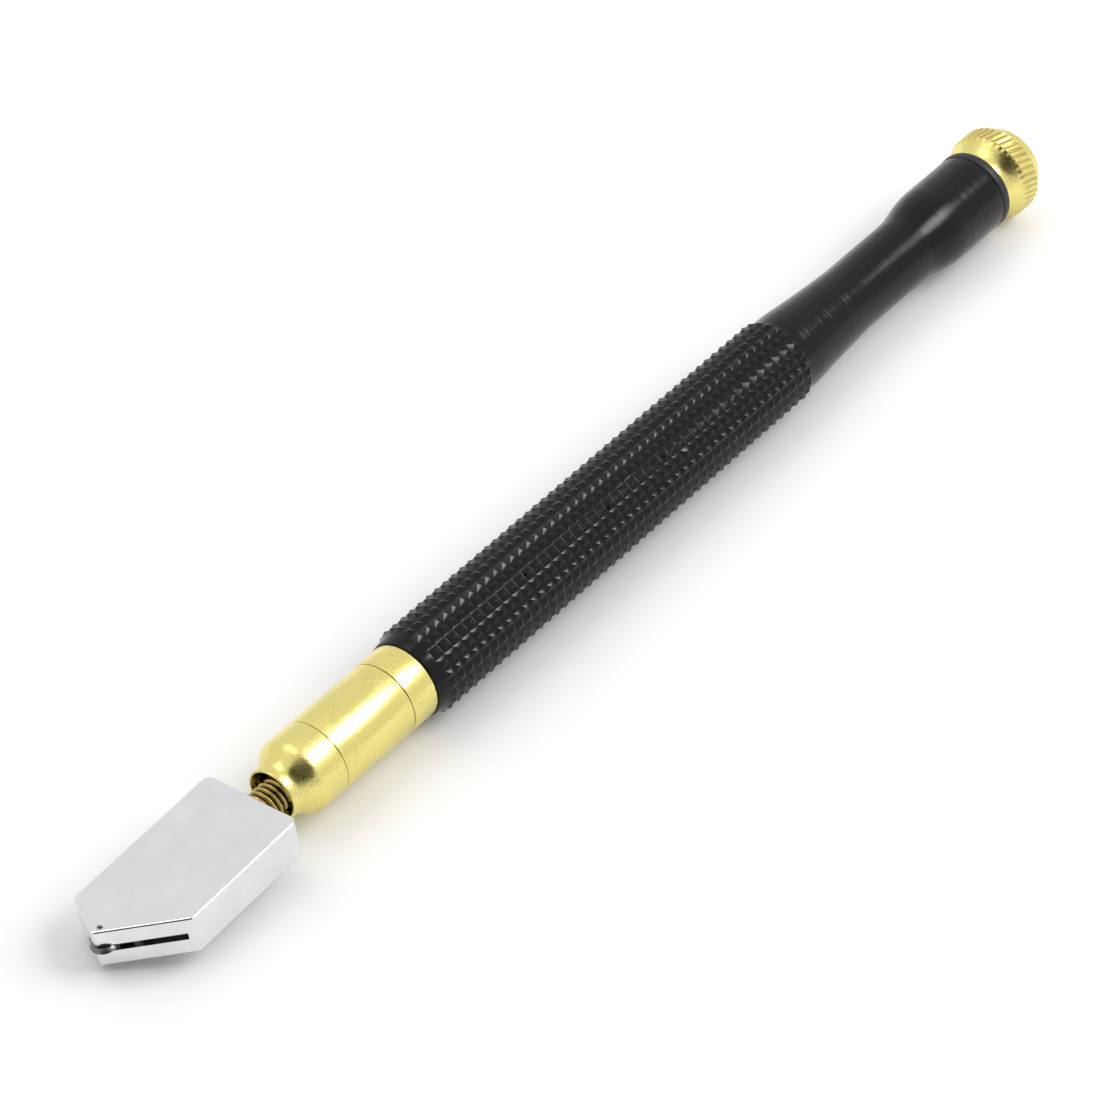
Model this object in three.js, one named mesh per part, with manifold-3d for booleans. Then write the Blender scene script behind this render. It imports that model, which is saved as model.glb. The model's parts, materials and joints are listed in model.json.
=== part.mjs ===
// Pencil-grip glass cutter that feeds oil from a reservoir in its handle.
//
// Lengths are in millimetres. The tool lies along X: the cutting nose points to -X, the filler cap to +X,
// and the flat faces of the head look up and down. Stations along X are counted from the rear face of
// the head, and radii from the axis of the handle.

import * as THREE from 'three';
import { mergeVertices } from 'three/addons/utils/BufferGeometryUtils.js';
import Module from 'manifold-3d';

const wasm = await Module();
wasm.setup();

// Fineness and clearances
const FACETS = 24;                        // flats around an outer turned piece, one of them underneath
const INNER_FACETS = 16;                  // flats around a piece inside the ferrule
const SMALL_FACETS = 12;                  // flats around pins and small holes
const FIT = 0.1;                          // clearance between two pieces that slide or screw together

// Cutting head: a flat block with an off-centre nose
const HEAD_WIDTH = 14.4;
const HEAD_THICKNESS = 5.5;
const NOSE_STATION = -26.6;
const NOSE_SIDE_SHIFT = 1.4;              // the nose point lies this far to the +Y side of the axis
const LONG_SLANT_LENGTH = 8.1;            // along X, on the -Y side
const SHORT_SLANT_LENGTH = 3.1;           // along X, on the +Y side
const REAR_CORNER_RADIUS = 1.3;
const NOSE_CORNER_RADIUS = 0.4;
const LONG_SLANT_CORNER_RADIUS = 0.3;
const SHORT_SLANT_CORNER_RADIUS = 0.8;
const HEAD_EDGE_CHAMFER = 0.3;
const SLOT_HEIGHT = 1.0;
const SLOT_DEPTH = 2.6;
const SLOT_END_MARGIN = 1.5;              // the slot stops this far short of the long slant's outer corner
const SOCKET_DEPTH = 8.0;
const SLOT_OVERRUN = 3.0;                 // how far the slot's cutter reaches beyond the nose
const WICK_PASSAGE_RADIUS = 0.6;
const WICK_PASSAGE_SETBACK = 4.0;         // the passage opens into the slot this far behind the nose
const WICK_RADIUS = 0.4;
const WICK_SETBACK = 4.6;
const WICK_END_MARGIN = 0.5;              // the wick stops this far inside the stem

// Cutting wheel and its axle
const WHEEL_SETBACK = 1.3;                // axle station behind the nose point
const WHEEL_SIDE_SHIFT = 1.2;
const WHEEL_RADIUS = 1.7;
const WHEEL_THICKNESS = 0.8;
const AXLE_RADIUS = 0.35;
const AXLE_RECESS = 0.1;

// Head float: the threaded stem tips in the ball plunger and rests on the lower lip of the mouth
const FLOAT_STATION = 10.0;
const HEAD_DROOP = THREE.MathUtils.degToRad(3.7);
const HEAD_ROLL = THREE.MathUtils.degToRad(-7);   // where the screw happens to stand: the -Y side is raised

// Threaded stem
const STEM_RADIUS = 2.25;
const STEM_PITCH = 0.8;
const THREAD_DEPTH = 0.3;
const STEM_SPIGOT_RADIUS = 1.5;
const STEM_THREAD_END = 11.0;
const STEM_TAIL_RADIUS = 1.9;
const STEM_TAIL_END = 15.5;
const STEM_BORE_RADIUS = 0.75;
const STEM_SEAL_STATION = 14.4;
const STEM_SEAL_WIRE = 0.4;
const STEM_SEAL_GROOVE_DEPTH = 0.5;
const SEAL_SIDE_PLAY = 0.05;              // between a seal and the sides or the floor of its groove

// Brass ferrule: nose cap, sleeve and rear collar
const MOUTH_STATION = 2.7;
const MOUTH_RADIUS = 2.9;
const SEAT_OUTER_RADIUS = 3.85;           // of the spherical seat inside the nose cap
const SEAT_MIDDLE_RADIUS = 3.4;
const LIP_RADIUS = 3.6;
const LIP_ROUNDING = 0.35;
const LIP_LENGTH = 0.9;
const SHOULDER_STATION = 7.0;
const FRONT_JOINT = 10.7;
const REAR_JOINT = 23.0;
const FERRULE_END = 27.1;
const FERRULE_RADIUS = 5.15;
const COLLAR_RADIUS = 5.2;
const FERRULE_BORE = 4.2;
const JOINT_GAP = 0.06;
const SPIGOT_RADIUS = 4.6;
const SPIGOT_LENGTH = 1.6;
const NOSE_GASKET_THICKNESS = 0.5;
const COLLAR_SPIGOT_FRONT = 21.6;
const COLLAR_SPIGOT_REAR = 35.0;
const COLLAR_CHAMBER_RADIUS = 3.4;
const COLLAR_CHAMBER_END = 27.0;
const VALVE_HOLE_RADIUS = 1.3;

// Ball plunger, thrust disc, return spring and valve
const BALL_RADIUS = 4.0;
const BALL_HALF_LENGTH = 2.5;
const BALL_GROOVE_HALF_WIDTH = 0.45;
const BALL_SEAL_WIRE = 0.36;
const BALL_GROOVE_DEPTH = 0.75;
const BALL_REAR_RELIEF = 0.2;             // between the ball and the shoulder of its tail
const PLUNGER_TAIL_RADIUS = 3.2;
const PLUNGER_TAIL_END = 19.0;
const PLUNGER_BORE = 2.5;
const DISC_STATION = 19.4;
const DISC_THICKNESS = 1.0;
const DISC_RADIUS = 3.9;
const OIL_HOLE_COUNT = 4;
const OIL_HOLE_RADIUS = 0.6;
const OIL_HOLE_CIRCLE = 2.0;
const SPRING_TURNS = 4.5;
const SPRING_STEPS_PER_TURN = 12;
const SPRING_COIL_RADIUS = 2.9;
const SPRING_WIRE_RADIUS = 0.28;
const SPRING_END_GAP = 0.1;
const PIN_RADIUS = 0.5;
const PIN_FRONT = 18.7;
const PIN_BUTTON_RADIUS = 1.1;
const PIN_BUTTON_LENGTH = 0.6;
const PIN_HEAD_RADIUS = 1.5;
const PIN_HEAD_LENGTH = 0.8;
const VALVE_DISC_RADIUS = 2.2;
const VALVE_DISC_THICKNESS = 1.0;

// Handle tube
const GRIP_END_RING = 28.7;               // end of the smooth ring in front of the grip
const GRIP_RING_RADIUS = 5.65;
const FRONT_EDGE = 0.15;                  // bevel at the front of the ring
const GRIP_EDGE = 0.4;                    // length of the bevel at the end of the grip
const GRIP_RADIUS = 6.1;
const GRIP_END = 102.3;
const TURNED_RADIUS = 5.6;
const TAPER_START = 104.8;
const WAIST_START = 117.7;
const WAIST_END = 130.8;
const WAIST_RADIUS = 4.68;
const FLARE_END = 137.6;
const HANDLE_END = 146.0;
const HANDLE_END_RADIUS = 5.68;
const HANDLE_END_CHAMFER = 0.2;
const HANDLE_COUNTERBORE_END = 36.0;
const RESERVOIR_RADIUS = 3.5;
const GASKET_OVERLAP = 0.4;               // how far the collar gasket reaches inside the reservoir wall

// Filler washer and cap
const WASHER_THICKNESS = 1.4;
const WASHER_RADIUS = 5.75;
const WASHER_GAP = 0.05;
const WASHER_EDGE = 0.15;
const CAP_NECK_RADIUS = 5.0;
const CAP_RIM_RADIUS = 6.4;
const CAP_FLARE_LENGTH = 2.3;
const CAP_RIM_WIDTH = 2.4;
const CAP_BEVEL_LENGTH = 1.6;
const CAP_END_RADIUS = 5.0;
const CAP_CROWN_RADIUS = 3.2;
const CAP_CROWN_HEIGHT = 0.7;
const STUD_RADIUS = 3.4;
const STUD_LENGTH = 7.5;
const STUD_PITCH = 1.0;
const STUD_UNDERCUT = 0.6;                // plain length between the stud's thread and the cap
const STUD_HOLE_RADIUS = 1.2;
const STUD_HOLE_DEPTH = 6.0;

// Finishes
const FINISHES = {
  chrome: { color: 0xdcdde0, roughness: 0.22, metalness: 1.0 },
  brass: { color: 0xe3d97f, roughness: 0.3, metalness: 1.0 },
  steel: { color: 0xb9bbbe, roughness: 0.35, metalness: 1.0 },
  carbide: { color: 0x4a4b4e, roughness: 0.4, metalness: 0.9 },
  blackAluminium: { color: 0x1c1c1e, roughness: 0.35, metalness: 0.6 },
  rubber: { color: 0x15161a, roughness: 0.7, metalness: 0.0 },
  fibre: { color: 0x8a3a2c, roughness: 0.8, metalness: 0.0 },
  cotton: { color: 0xe8e2d2, roughness: 0.95, metalness: 0.0 },
};

// ---------------------------------------------------------------- helpers

function piece(name, geometry, finish) {
  const mesh = new THREE.Mesh(geometry, new THREE.MeshStandardMaterial(FINISHES[finish]));
  mesh.name = name;
  return mesh;
}

// A turned piece. Each point of the outline is [station, radius]: the outer wall runs towards +X and
// the inner wall back. The flats of the polygon, not its corners, lie at the stated radius.
function turned(name, outline, finish, facets = FACETS) {
  const cornerScale = 1 / Math.cos(Math.PI / facets);
  const points = outline.map(([station, radius]) => new THREE.Vector2(radius * cornerScale, station));
  if (outline[0][1] > 0) {
    points.push(points[0].clone());
  }
  const mesh = piece(name, new THREE.LatheGeometry(points, facets, Math.PI / facets), finish);
  mesh.rotation.z = -Math.PI / 2;
  return mesh;
}

// A ring of round section, such as an O-ring
function ring(name, station, middleRadius, wireRadius, finish) {
  const sides = 6;
  const outline = [];
  for (let i = 0; i < sides; i += 1) {
    const angle = Math.PI - (i * Math.PI * 2) / sides;
    outline.push([station + wireRadius * Math.cos(angle), middleRadius + wireRadius * Math.sin(angle)]);
  }
  return turned(name, outline, finish, INNER_FACETS);
}

// Outline points of a screw thread drawn as V ridges between two stations
function threadRidges(start, end, radius, pitch) {
  const ridgeCount = Math.floor((end - start) / pitch);
  const points = [];
  for (let i = 0; i < ridgeCount; i += 1) {
    points.push([start + (i + 0.25) * pitch, radius], [start + (i + 0.75) * pitch, radius - THREAD_DEPTH]);
  }
  return points;
}

function toManifold(geometry) {
  const bare = geometry.clone();
  bare.deleteAttribute('normal');
  bare.deleteAttribute('uv');
  const merged = mergeVertices(bare, 1e-4);
  return new wasm.Manifold(new wasm.Mesh({
    numProp: 3,
    vertProperties: new Float32Array(merged.attributes.position.array),
    triVerts: new Uint32Array(merged.index.array),
  }));
}

function fromManifold(solid) {
  const mesh = solid.getMesh();
  const geometry = new THREE.BufferGeometry();
  geometry.setAttribute('position', new THREE.BufferAttribute(mesh.vertProperties, 3));
  geometry.setIndex(new THREE.BufferAttribute(mesh.triVerts, 1));
  geometry.computeVertexNormals();
  return geometry;
}

// Closed outline through the corners, each { point, radius } rounded to its own radius
function roundedOutline(corners) {
  const shape = new THREE.Shape();
  corners.forEach(({ point: corner, radius }, i) => {
    const before = corners[(i + corners.length - 1) % corners.length].point;
    const after = corners[(i + 1) % corners.length].point;
    const entry = corner.clone().add(before.clone().sub(corner).setLength(radius));
    const exit = corner.clone().add(after.clone().sub(corner).setLength(radius));
    if (i === 0) {
      shape.moveTo(entry.x, entry.y);
    } else {
      shape.lineTo(entry.x, entry.y);
    }
    shape.quadraticCurveTo(corner.x, corner.y, exit.x, exit.y);
  });
  shape.closePath();
  return shape;
}

// A round rod or hole along Z, centred on the origin
function uprightRod(radius, length) {
  const rod = new THREE.CylinderGeometry(radius, radius, length, SMALL_FACETS);
  return rod.rotateX(Math.PI / 2);
}

// A round rod or hole along X between two stations
function axialRod(radius, start, end) {
  const rod = new THREE.CylinderGeometry(radius, radius, end - start, FACETS);
  return rod.rotateZ(Math.PI / 2).translate((start + end) / 2, 0, 0);
}

// ---------------------------------------------------------------- cutting head

const nosePoint = new THREE.Vector2(NOSE_STATION, NOSE_SIDE_SHIFT);
const longSlantCorner = new THREE.Vector2(NOSE_STATION + LONG_SLANT_LENGTH, -HEAD_WIDTH / 2);
const shortSlantCorner = new THREE.Vector2(NOSE_STATION + SHORT_SLANT_LENGTH, HEAD_WIDTH / 2);
const axlePoint = new THREE.Vector2(NOSE_STATION + WHEEL_SETBACK, WHEEL_SIDE_SHIFT);

function headBlock() {
  const corners = [
    { point: nosePoint, radius: NOSE_CORNER_RADIUS },
    { point: longSlantCorner, radius: LONG_SLANT_CORNER_RADIUS },
    { point: new THREE.Vector2(0, -HEAD_WIDTH / 2), radius: REAR_CORNER_RADIUS },
    { point: new THREE.Vector2(0, HEAD_WIDTH / 2), radius: REAR_CORNER_RADIUS },
    { point: shortSlantCorner, radius: SHORT_SLANT_CORNER_RADIUS },
  ];
  const depth = HEAD_THICKNESS - 2 * HEAD_EDGE_CHAMFER;
  const block = new THREE.ExtrudeGeometry(roundedOutline(corners), {
    depth,
    curveSegments: 3,
    bevelThickness: HEAD_EDGE_CHAMFER,
    bevelSize: HEAD_EDGE_CHAMFER,
    bevelOffset: -HEAD_EDGE_CHAMFER,
    bevelSegments: 1,
  });
  return block.translate(0, 0, -depth / 2);
}

// The wheel slot lies along the long slant, open through the nose and closed before the outer corner
function wheelSlot() {
  const along = longSlantCorner.clone().sub(nosePoint);
  const slotLength = along.length() - SLOT_END_MARGIN;
  const slot = new THREE.BoxGeometry(slotLength + SLOT_OVERRUN, SLOT_DEPTH * 2, SLOT_HEIGHT);
  slot.translate((slotLength - SLOT_OVERRUN) / 2, 0, 0);
  return slot.rotateZ(along.angle()).translate(nosePoint.x, nosePoint.y, 0);
}

function headBody() {
  const socket = axialRod(STEM_SPIGOT_RADIUS + FIT, -SOCKET_DEPTH, 1);
  const wickPassage = axialRod(WICK_PASSAGE_RADIUS, NOSE_STATION + WICK_PASSAGE_SETBACK, 0);
  const axleHole = uprightRod(AXLE_RADIUS + FIT, HEAD_THICKNESS * 2).translate(axlePoint.x, axlePoint.y, 0);
  const cutters = [wheelSlot(), socket, wickPassage, axleHole];
  const solid = cutters.reduce((body, cutter) => body.subtract(toManifold(cutter)), toManifold(headBlock()));
  return piece('head_body', fromManifold(solid), 'chrome');
}

function wheelAxle() {
  const axle = piece('wheel_axle', uprightRod(AXLE_RADIUS, HEAD_THICKNESS - 2 * AXLE_RECESS), 'steel');
  axle.position.set(axlePoint.x, axlePoint.y, 0);
  return axle;
}

// Carbide wheel with a V edge, turned about the vertical axle
function cuttingWheel() {
  const bore = AXLE_RADIUS + FIT;
  const half = WHEEL_THICKNESS / 2;
  const outline = [[-half, bore], [-half, WHEEL_RADIUS - half], [0, WHEEL_RADIUS], [half, WHEEL_RADIUS - half],
    [half, bore]];
  const points = outline.map(([height, radius]) => new THREE.Vector2(radius, height));
  points.push(points[0].clone());
  const wheel = piece('cutting_wheel', new THREE.LatheGeometry(points, FACETS), 'carbide');
  wheel.rotation.x = Math.PI / 2;
  wheel.position.set(axlePoint.x, axlePoint.y, 0);
  return wheel;
}

function headWick() {
  const front = NOSE_STATION + WICK_SETBACK;
  const end = STEM_TAIL_END - WICK_END_MARGIN;
  const outline = [[front, 0], [front, WICK_RADIUS], [end, WICK_RADIUS], [end, 0]];
  return turned('head_wick', outline, 'cotton', SMALL_FACETS);
}

function threadedStem() {
  const spigotFront = -SOCKET_DEPTH + FIT;
  const grooveHalf = STEM_SEAL_WIRE + SEAL_SIDE_PLAY;
  const grooveFloor = STEM_TAIL_RADIUS - STEM_SEAL_GROOVE_DEPTH;
  return turned('threaded_stem', [
    [spigotFront, STEM_BORE_RADIUS],
    [spigotFront, STEM_SPIGOT_RADIUS],
    [FIT, STEM_SPIGOT_RADIUS],
    [FIT, STEM_RADIUS - THREAD_DEPTH],
    ...threadRidges(FIT, STEM_THREAD_END, STEM_RADIUS, STEM_PITCH),
    [STEM_THREAD_END, STEM_TAIL_RADIUS],
    [STEM_SEAL_STATION - grooveHalf, STEM_TAIL_RADIUS],
    [STEM_SEAL_STATION - grooveHalf, grooveFloor],
    [STEM_SEAL_STATION + grooveHalf, grooveFloor],
    [STEM_SEAL_STATION + grooveHalf, STEM_TAIL_RADIUS],
    [STEM_TAIL_END, STEM_TAIL_RADIUS],
    [STEM_TAIL_END, STEM_BORE_RADIUS],
  ], 'brass', INNER_FACETS);
}

function stemSeal() {
  const middle = STEM_TAIL_RADIUS + SEAL_SIDE_PLAY;
  return ring('stem_o_ring', STEM_SEAL_STATION, middle, STEM_SEAL_WIRE, 'rubber');
}

// ---------------------------------------------------------------- ball plunger, spring and valve

function ballOutline(start, end, steps) {
  const points = [];
  for (let i = 0; i <= steps; i += 1) {
    const offset = start + ((end - start) * i) / steps;
    points.push([FLOAT_STATION + offset, Math.sqrt(BALL_RADIUS ** 2 - offset ** 2)]);
  }
  return points;
}

function ballPlunger() {
  const front = FLOAT_STATION - BALL_HALF_LENGTH;
  const grooveFloor = BALL_RADIUS - BALL_GROOVE_DEPTH;
  const threadBore = STEM_RADIUS + FIT;
  return turned('ball_plunger', [
    ...ballOutline(-BALL_HALF_LENGTH, -BALL_GROOVE_HALF_WIDTH, 3),
    [FLOAT_STATION - BALL_GROOVE_HALF_WIDTH, grooveFloor],
    [FLOAT_STATION + BALL_GROOVE_HALF_WIDTH, grooveFloor],
    ...ballOutline(BALL_GROOVE_HALF_WIDTH, BALL_HALF_LENGTH - BALL_REAR_RELIEF, 3),
    [FLOAT_STATION + BALL_HALF_LENGTH, PLUNGER_TAIL_RADIUS],
    [PLUNGER_TAIL_END, PLUNGER_TAIL_RADIUS],
    [PLUNGER_TAIL_END, PLUNGER_BORE],
    [STEM_THREAD_END, PLUNGER_BORE],
    [STEM_THREAD_END, threadBore],
    [front, threadBore],
  ], 'brass', INNER_FACETS);
}

function ballSeal() {
  const middle = FERRULE_BORE - BALL_SEAL_WIRE - SEAL_SIDE_PLAY;
  return ring('plunger_o_ring', FLOAT_STATION, middle, BALL_SEAL_WIRE, 'rubber');
}

// The disc carries the spring's push to the plunger and lets oil through four holes
function thrustDisc() {
  const shape = new THREE.Shape();
  shape.absarc(0, 0, DISC_RADIUS, 0, Math.PI * 2);
  const pinHole = new THREE.Path();
  pinHole.absarc(0, 0, PIN_RADIUS + FIT, 0, Math.PI * 2, true);
  shape.holes.push(pinHole);
  for (let i = 0; i < OIL_HOLE_COUNT; i += 1) {
    const angle = (i * Math.PI * 2) / OIL_HOLE_COUNT;
    const hole = new THREE.Path();
    hole.absarc(OIL_HOLE_CIRCLE * Math.cos(angle), OIL_HOLE_CIRCLE * Math.sin(angle), OIL_HOLE_RADIUS, 0,
      Math.PI * 2, true);
    shape.holes.push(hole);
  }
  const geometry = new THREE.ExtrudeGeometry(shape, {
    depth: DISC_THICKNESS,
    curveSegments: SMALL_FACETS / 2,
    bevelEnabled: false,
  });
  const disc = piece('thrust_disc', geometry, 'brass');
  disc.rotation.y = Math.PI / 2;
  disc.position.x = DISC_STATION;
  return disc;
}

class SpringPath extends THREE.Curve {
  getPoint(t, target = new THREE.Vector3()) {
    const start = DISC_STATION + DISC_THICKNESS + SPRING_END_GAP + SPRING_WIRE_RADIUS;
    const end = COLLAR_CHAMBER_END - SPRING_END_GAP - SPRING_WIRE_RADIUS;
    const angle = t * SPRING_TURNS * Math.PI * 2;
    const y = SPRING_COIL_RADIUS * Math.cos(angle);
    return target.set(start + (end - start) * t, y, SPRING_COIL_RADIUS * Math.sin(angle));
  }
}

function returnSpring() {
  const wire = new THREE.Shape();
  wire.absarc(0, 0, SPRING_WIRE_RADIUS, 0, Math.PI * 2);
  const geometry = new THREE.ExtrudeGeometry(wire, {
    extrudePath: new SpringPath(),
    steps: SPRING_TURNS * SPRING_STEPS_PER_TURN,
    curveSegments: 3,
  });
  return piece('return_spring', geometry, 'steel');
}

const valveHeadStation = COLLAR_SPIGOT_REAR + FIT + VALVE_DISC_THICKNESS + FIT;

function valvePin() {
  const buttonEnd = PIN_FRONT + PIN_BUTTON_LENGTH;
  const headEnd = valveHeadStation + PIN_HEAD_LENGTH;
  return turned('valve_pin', [
    [PIN_FRONT, 0],
    [PIN_FRONT, PIN_BUTTON_RADIUS],
    [buttonEnd, PIN_BUTTON_RADIUS],
    [buttonEnd, PIN_RADIUS],
    [valveHeadStation, PIN_RADIUS],
    [valveHeadStation, PIN_HEAD_RADIUS],
    [headEnd, PIN_HEAD_RADIUS],
    [headEnd, 0],
  ], 'steel', SMALL_FACETS);
}

function valveDisc() {
  const front = COLLAR_SPIGOT_REAR + FIT;
  const end = front + VALVE_DISC_THICKNESS;
  const bore = PIN_RADIUS + FIT;
  return turned('valve_disc', [
    [front, bore], [front, VALVE_DISC_RADIUS], [end, VALVE_DISC_RADIUS], [end, bore],
  ], 'rubber', INNER_FACETS);
}

// ---------------------------------------------------------------- ferrule

// Bell shape of the nose cap, from the rolled lip to the cylinder
function bellOutline() {
  const lip = [];
  const lipSteps = 3;
  for (let i = 0; i <= lipSteps; i += 1) {
    const angle = (i * Math.PI) / 2 / lipSteps;
    lip.push([MOUTH_STATION + LIP_ROUNDING * (1 - Math.cos(angle)),
      LIP_RADIUS - LIP_ROUNDING * (1 - Math.sin(angle))]);
  }
  const start = [MOUTH_STATION + LIP_LENGTH, LIP_RADIUS];
  const steps = 6;
  const bell = [start];
  for (let i = 1; i <= steps; i += 1) {
    const t = i / steps;
    const rise = t * t * (3 - 2 * t);
    bell.push([start[0] + (SHOULDER_STATION - start[0]) * t, start[1] + (FERRULE_RADIUS - start[1]) * rise]);
  }
  return [...lip, ...bell];
}

// Spherical seat for the ball, from the mouth bore outwards, written from the rear to the front
function ballSeatOutline() {
  const seatRadius = BALL_RADIUS + FIT * 2;
  const points = [];
  for (const radius of [SEAT_OUTER_RADIUS, SEAT_MIDDLE_RADIUS, MOUTH_RADIUS]) {
    points.push([FLOAT_STATION - Math.sqrt(seatRadius ** 2 - radius ** 2), radius]);
  }
  return points;
}

const noseGasketFront = FRONT_JOINT - SPIGOT_LENGTH - JOINT_GAP - NOSE_GASKET_THICKNESS;

function noseGasket() {
  const end = noseGasketFront + NOSE_GASKET_THICKNESS;
  return turned('nose_gasket', [
    [noseGasketFront, FERRULE_BORE],
    [noseGasketFront, SPIGOT_RADIUS],
    [end, SPIGOT_RADIUS],
    [end, FERRULE_BORE],
  ], 'fibre');
}

function noseCap() {
  const seat = ballSeatOutline();
  const counterboreFloor = noseGasketFront - JOINT_GAP;
  return turned('nose_cap', [
    ...bellOutline(),
    [FRONT_JOINT - JOINT_GAP, FERRULE_RADIUS],
    [FRONT_JOINT - JOINT_GAP, SPIGOT_RADIUS + FIT],
    [counterboreFloor, SPIGOT_RADIUS + FIT],
    [counterboreFloor, seat[0][1]],
    ...seat,
    [MOUTH_STATION, MOUTH_RADIUS],
  ], 'brass');
}

function ferruleSleeve() {
  const spigotFront = FRONT_JOINT - SPIGOT_LENGTH;
  return turned('ferrule_sleeve', [
    [spigotFront, FERRULE_BORE],
    [spigotFront, SPIGOT_RADIUS],
    [FRONT_JOINT, SPIGOT_RADIUS],
    [FRONT_JOINT, FERRULE_RADIUS],
    [REAR_JOINT - JOINT_GAP, FERRULE_RADIUS],
    [REAR_JOINT - JOINT_GAP, FERRULE_BORE],
  ], 'brass');
}

// The collar is the shoulder of the plug that closes the handle: it holds the spring and the valve hole
function rearCollar() {
  const plugRadius = FERRULE_BORE - FIT;
  return turned('rear_collar', [
    [COLLAR_SPIGOT_FRONT, COLLAR_CHAMBER_RADIUS],
    [COLLAR_SPIGOT_FRONT, plugRadius],
    [REAR_JOINT, plugRadius],
    [REAR_JOINT, COLLAR_RADIUS],
    [FERRULE_END, COLLAR_RADIUS],
    [FERRULE_END, plugRadius],
    [COLLAR_SPIGOT_REAR, plugRadius],
    [COLLAR_SPIGOT_REAR, VALVE_HOLE_RADIUS],
    [COLLAR_CHAMBER_END, VALVE_HOLE_RADIUS],
    [COLLAR_CHAMBER_END, COLLAR_CHAMBER_RADIUS],
  ], 'brass');
}

function collarGasket() {
  const front = COLLAR_SPIGOT_REAR + FIT;
  const end = HANDLE_COUNTERBORE_END - FIT;
  const outer = FERRULE_BORE - FIT;
  const inner = RESERVOIR_RADIUS - GASKET_OVERLAP;
  return turned('collar_gasket', [[front, inner], [front, outer], [end, outer], [end, inner]], 'rubber');
}

// ---------------------------------------------------------------- handle, washer and cap

function flareOutline() {
  const steps = 5;
  const points = [];
  for (let i = 1; i <= steps; i += 1) {
    const t = i / steps;
    const rise = Math.sin((t * Math.PI) / 2) ** 1.3;
    points.push([WAIST_END + (FLARE_END - WAIST_END) * t,
      WAIST_RADIUS + (HANDLE_END_RADIUS - WAIST_RADIUS) * rise]);
  }
  return points;
}

function handleTube() {
  const front = FERRULE_END + JOINT_GAP;
  return turned('handle_tube', [
    [front, GRIP_RING_RADIUS - FRONT_EDGE],
    [front + FRONT_EDGE, GRIP_RING_RADIUS],
    [GRIP_END_RING, GRIP_RING_RADIUS],
    [GRIP_END_RING, GRIP_RADIUS],
    [GRIP_END, GRIP_RADIUS],
    [GRIP_END + GRIP_EDGE, TURNED_RADIUS],
    [TAPER_START, TURNED_RADIUS],
    [WAIST_START, WAIST_RADIUS],
    [WAIST_END, WAIST_RADIUS],
    ...flareOutline(),
    [HANDLE_END - HANDLE_END_CHAMFER, HANDLE_END_RADIUS],
    [HANDLE_END, HANDLE_END_RADIUS - HANDLE_END_CHAMFER],
    [HANDLE_END, RESERVOIR_RADIUS],
    [HANDLE_COUNTERBORE_END, RESERVOIR_RADIUS],
    [HANDLE_COUNTERBORE_END, FERRULE_BORE],
    [front, FERRULE_BORE],
  ], 'blackAluminium');
}

function fillerWasher() {
  const front = HANDLE_END + WASHER_GAP;
  const end = front + WASHER_THICKNESS;
  const bore = STUD_RADIUS + FIT;
  return turned('filler_washer', [
    [front, bore],
    [front, WASHER_RADIUS - WASHER_EDGE],
    [front + WASHER_EDGE, WASHER_RADIUS],
    [end - WASHER_EDGE, WASHER_RADIUS],
    [end, WASHER_RADIUS - WASHER_EDGE],
    [end, bore],
  ], 'rubber');
}

function fillerCap() {
  const front = HANDLE_END + WASHER_GAP * 2 + WASHER_THICKNESS;
  const rimStart = front + CAP_FLARE_LENGTH;
  const rimEnd = rimStart + CAP_RIM_WIDTH;
  const bevelEnd = rimEnd + CAP_BEVEL_LENGTH;
  const crownEnd = bevelEnd + CAP_CROWN_HEIGHT;
  const studFront = front - STUD_LENGTH;
  const holeEnd = studFront + STUD_HOLE_DEPTH;
  const threadEnd = front - STUD_UNDERCUT;
  const stepCount = 4;
  const flare = [];
  for (let i = 0; i <= stepCount; i += 1) {
    const t = i / stepCount;
    flare.push([front + CAP_FLARE_LENGTH * t, CAP_NECK_RADIUS + (CAP_RIM_RADIUS - CAP_NECK_RADIUS) * t * t]);
  }
  return turned('filler_cap', [
    [holeEnd, 0],
    [holeEnd, STUD_HOLE_RADIUS],
    [studFront, STUD_HOLE_RADIUS],
    [studFront, STUD_RADIUS - THREAD_DEPTH],
    ...threadRidges(studFront, threadEnd, STUD_RADIUS, STUD_PITCH),
    [threadEnd, STUD_RADIUS - THREAD_DEPTH],
    [front, STUD_RADIUS - THREAD_DEPTH],
    ...flare,
    [rimEnd, CAP_RIM_RADIUS],
    [bevelEnd, CAP_END_RADIUS],
    [crownEnd, CAP_CROWN_RADIUS],
    [crownEnd, 0],
  ], 'brass');
}

// ---------------------------------------------------------------- assembly

// The floating pieces turn about the ball's centre, so they hang in a group placed there
function floatingHead() {
  const contents = new THREE.Group();
  contents.position.x = -FLOAT_STATION;
  contents.rotation.x = HEAD_ROLL;
  contents.add(headBody(), wheelAxle(), cuttingWheel(), headWick(), threadedStem(), stemSeal());
  contents.add(ballPlunger(), ballSeal());
  const pivot = new THREE.Group();
  pivot.position.x = FLOAT_STATION;
  pivot.rotation.y = -HEAD_DROOP;
  pivot.add(contents);
  return pivot;
}

const tool = new THREE.Group();
tool.add(floatingHead());
tool.add(thrustDisc(), returnSpring(), valvePin(), valveDisc());
tool.add(noseCap(), noseGasket(), ferruleSleeve(), rearCollar(), collarGasket());
tool.add(handleTube(), fillerWasher(), fillerCap());

// The origin is under the middle of the tool, on the surface that it lies on
const extent = new THREE.Box3().setFromObject(tool, true);
const middle = extent.getCenter(new THREE.Vector3());
tool.position.set(-middle.x, -middle.y, -extent.min.z);

const glassCutter = new THREE.Group();
glassCutter.add(tool);

export default glassCutter;
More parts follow.
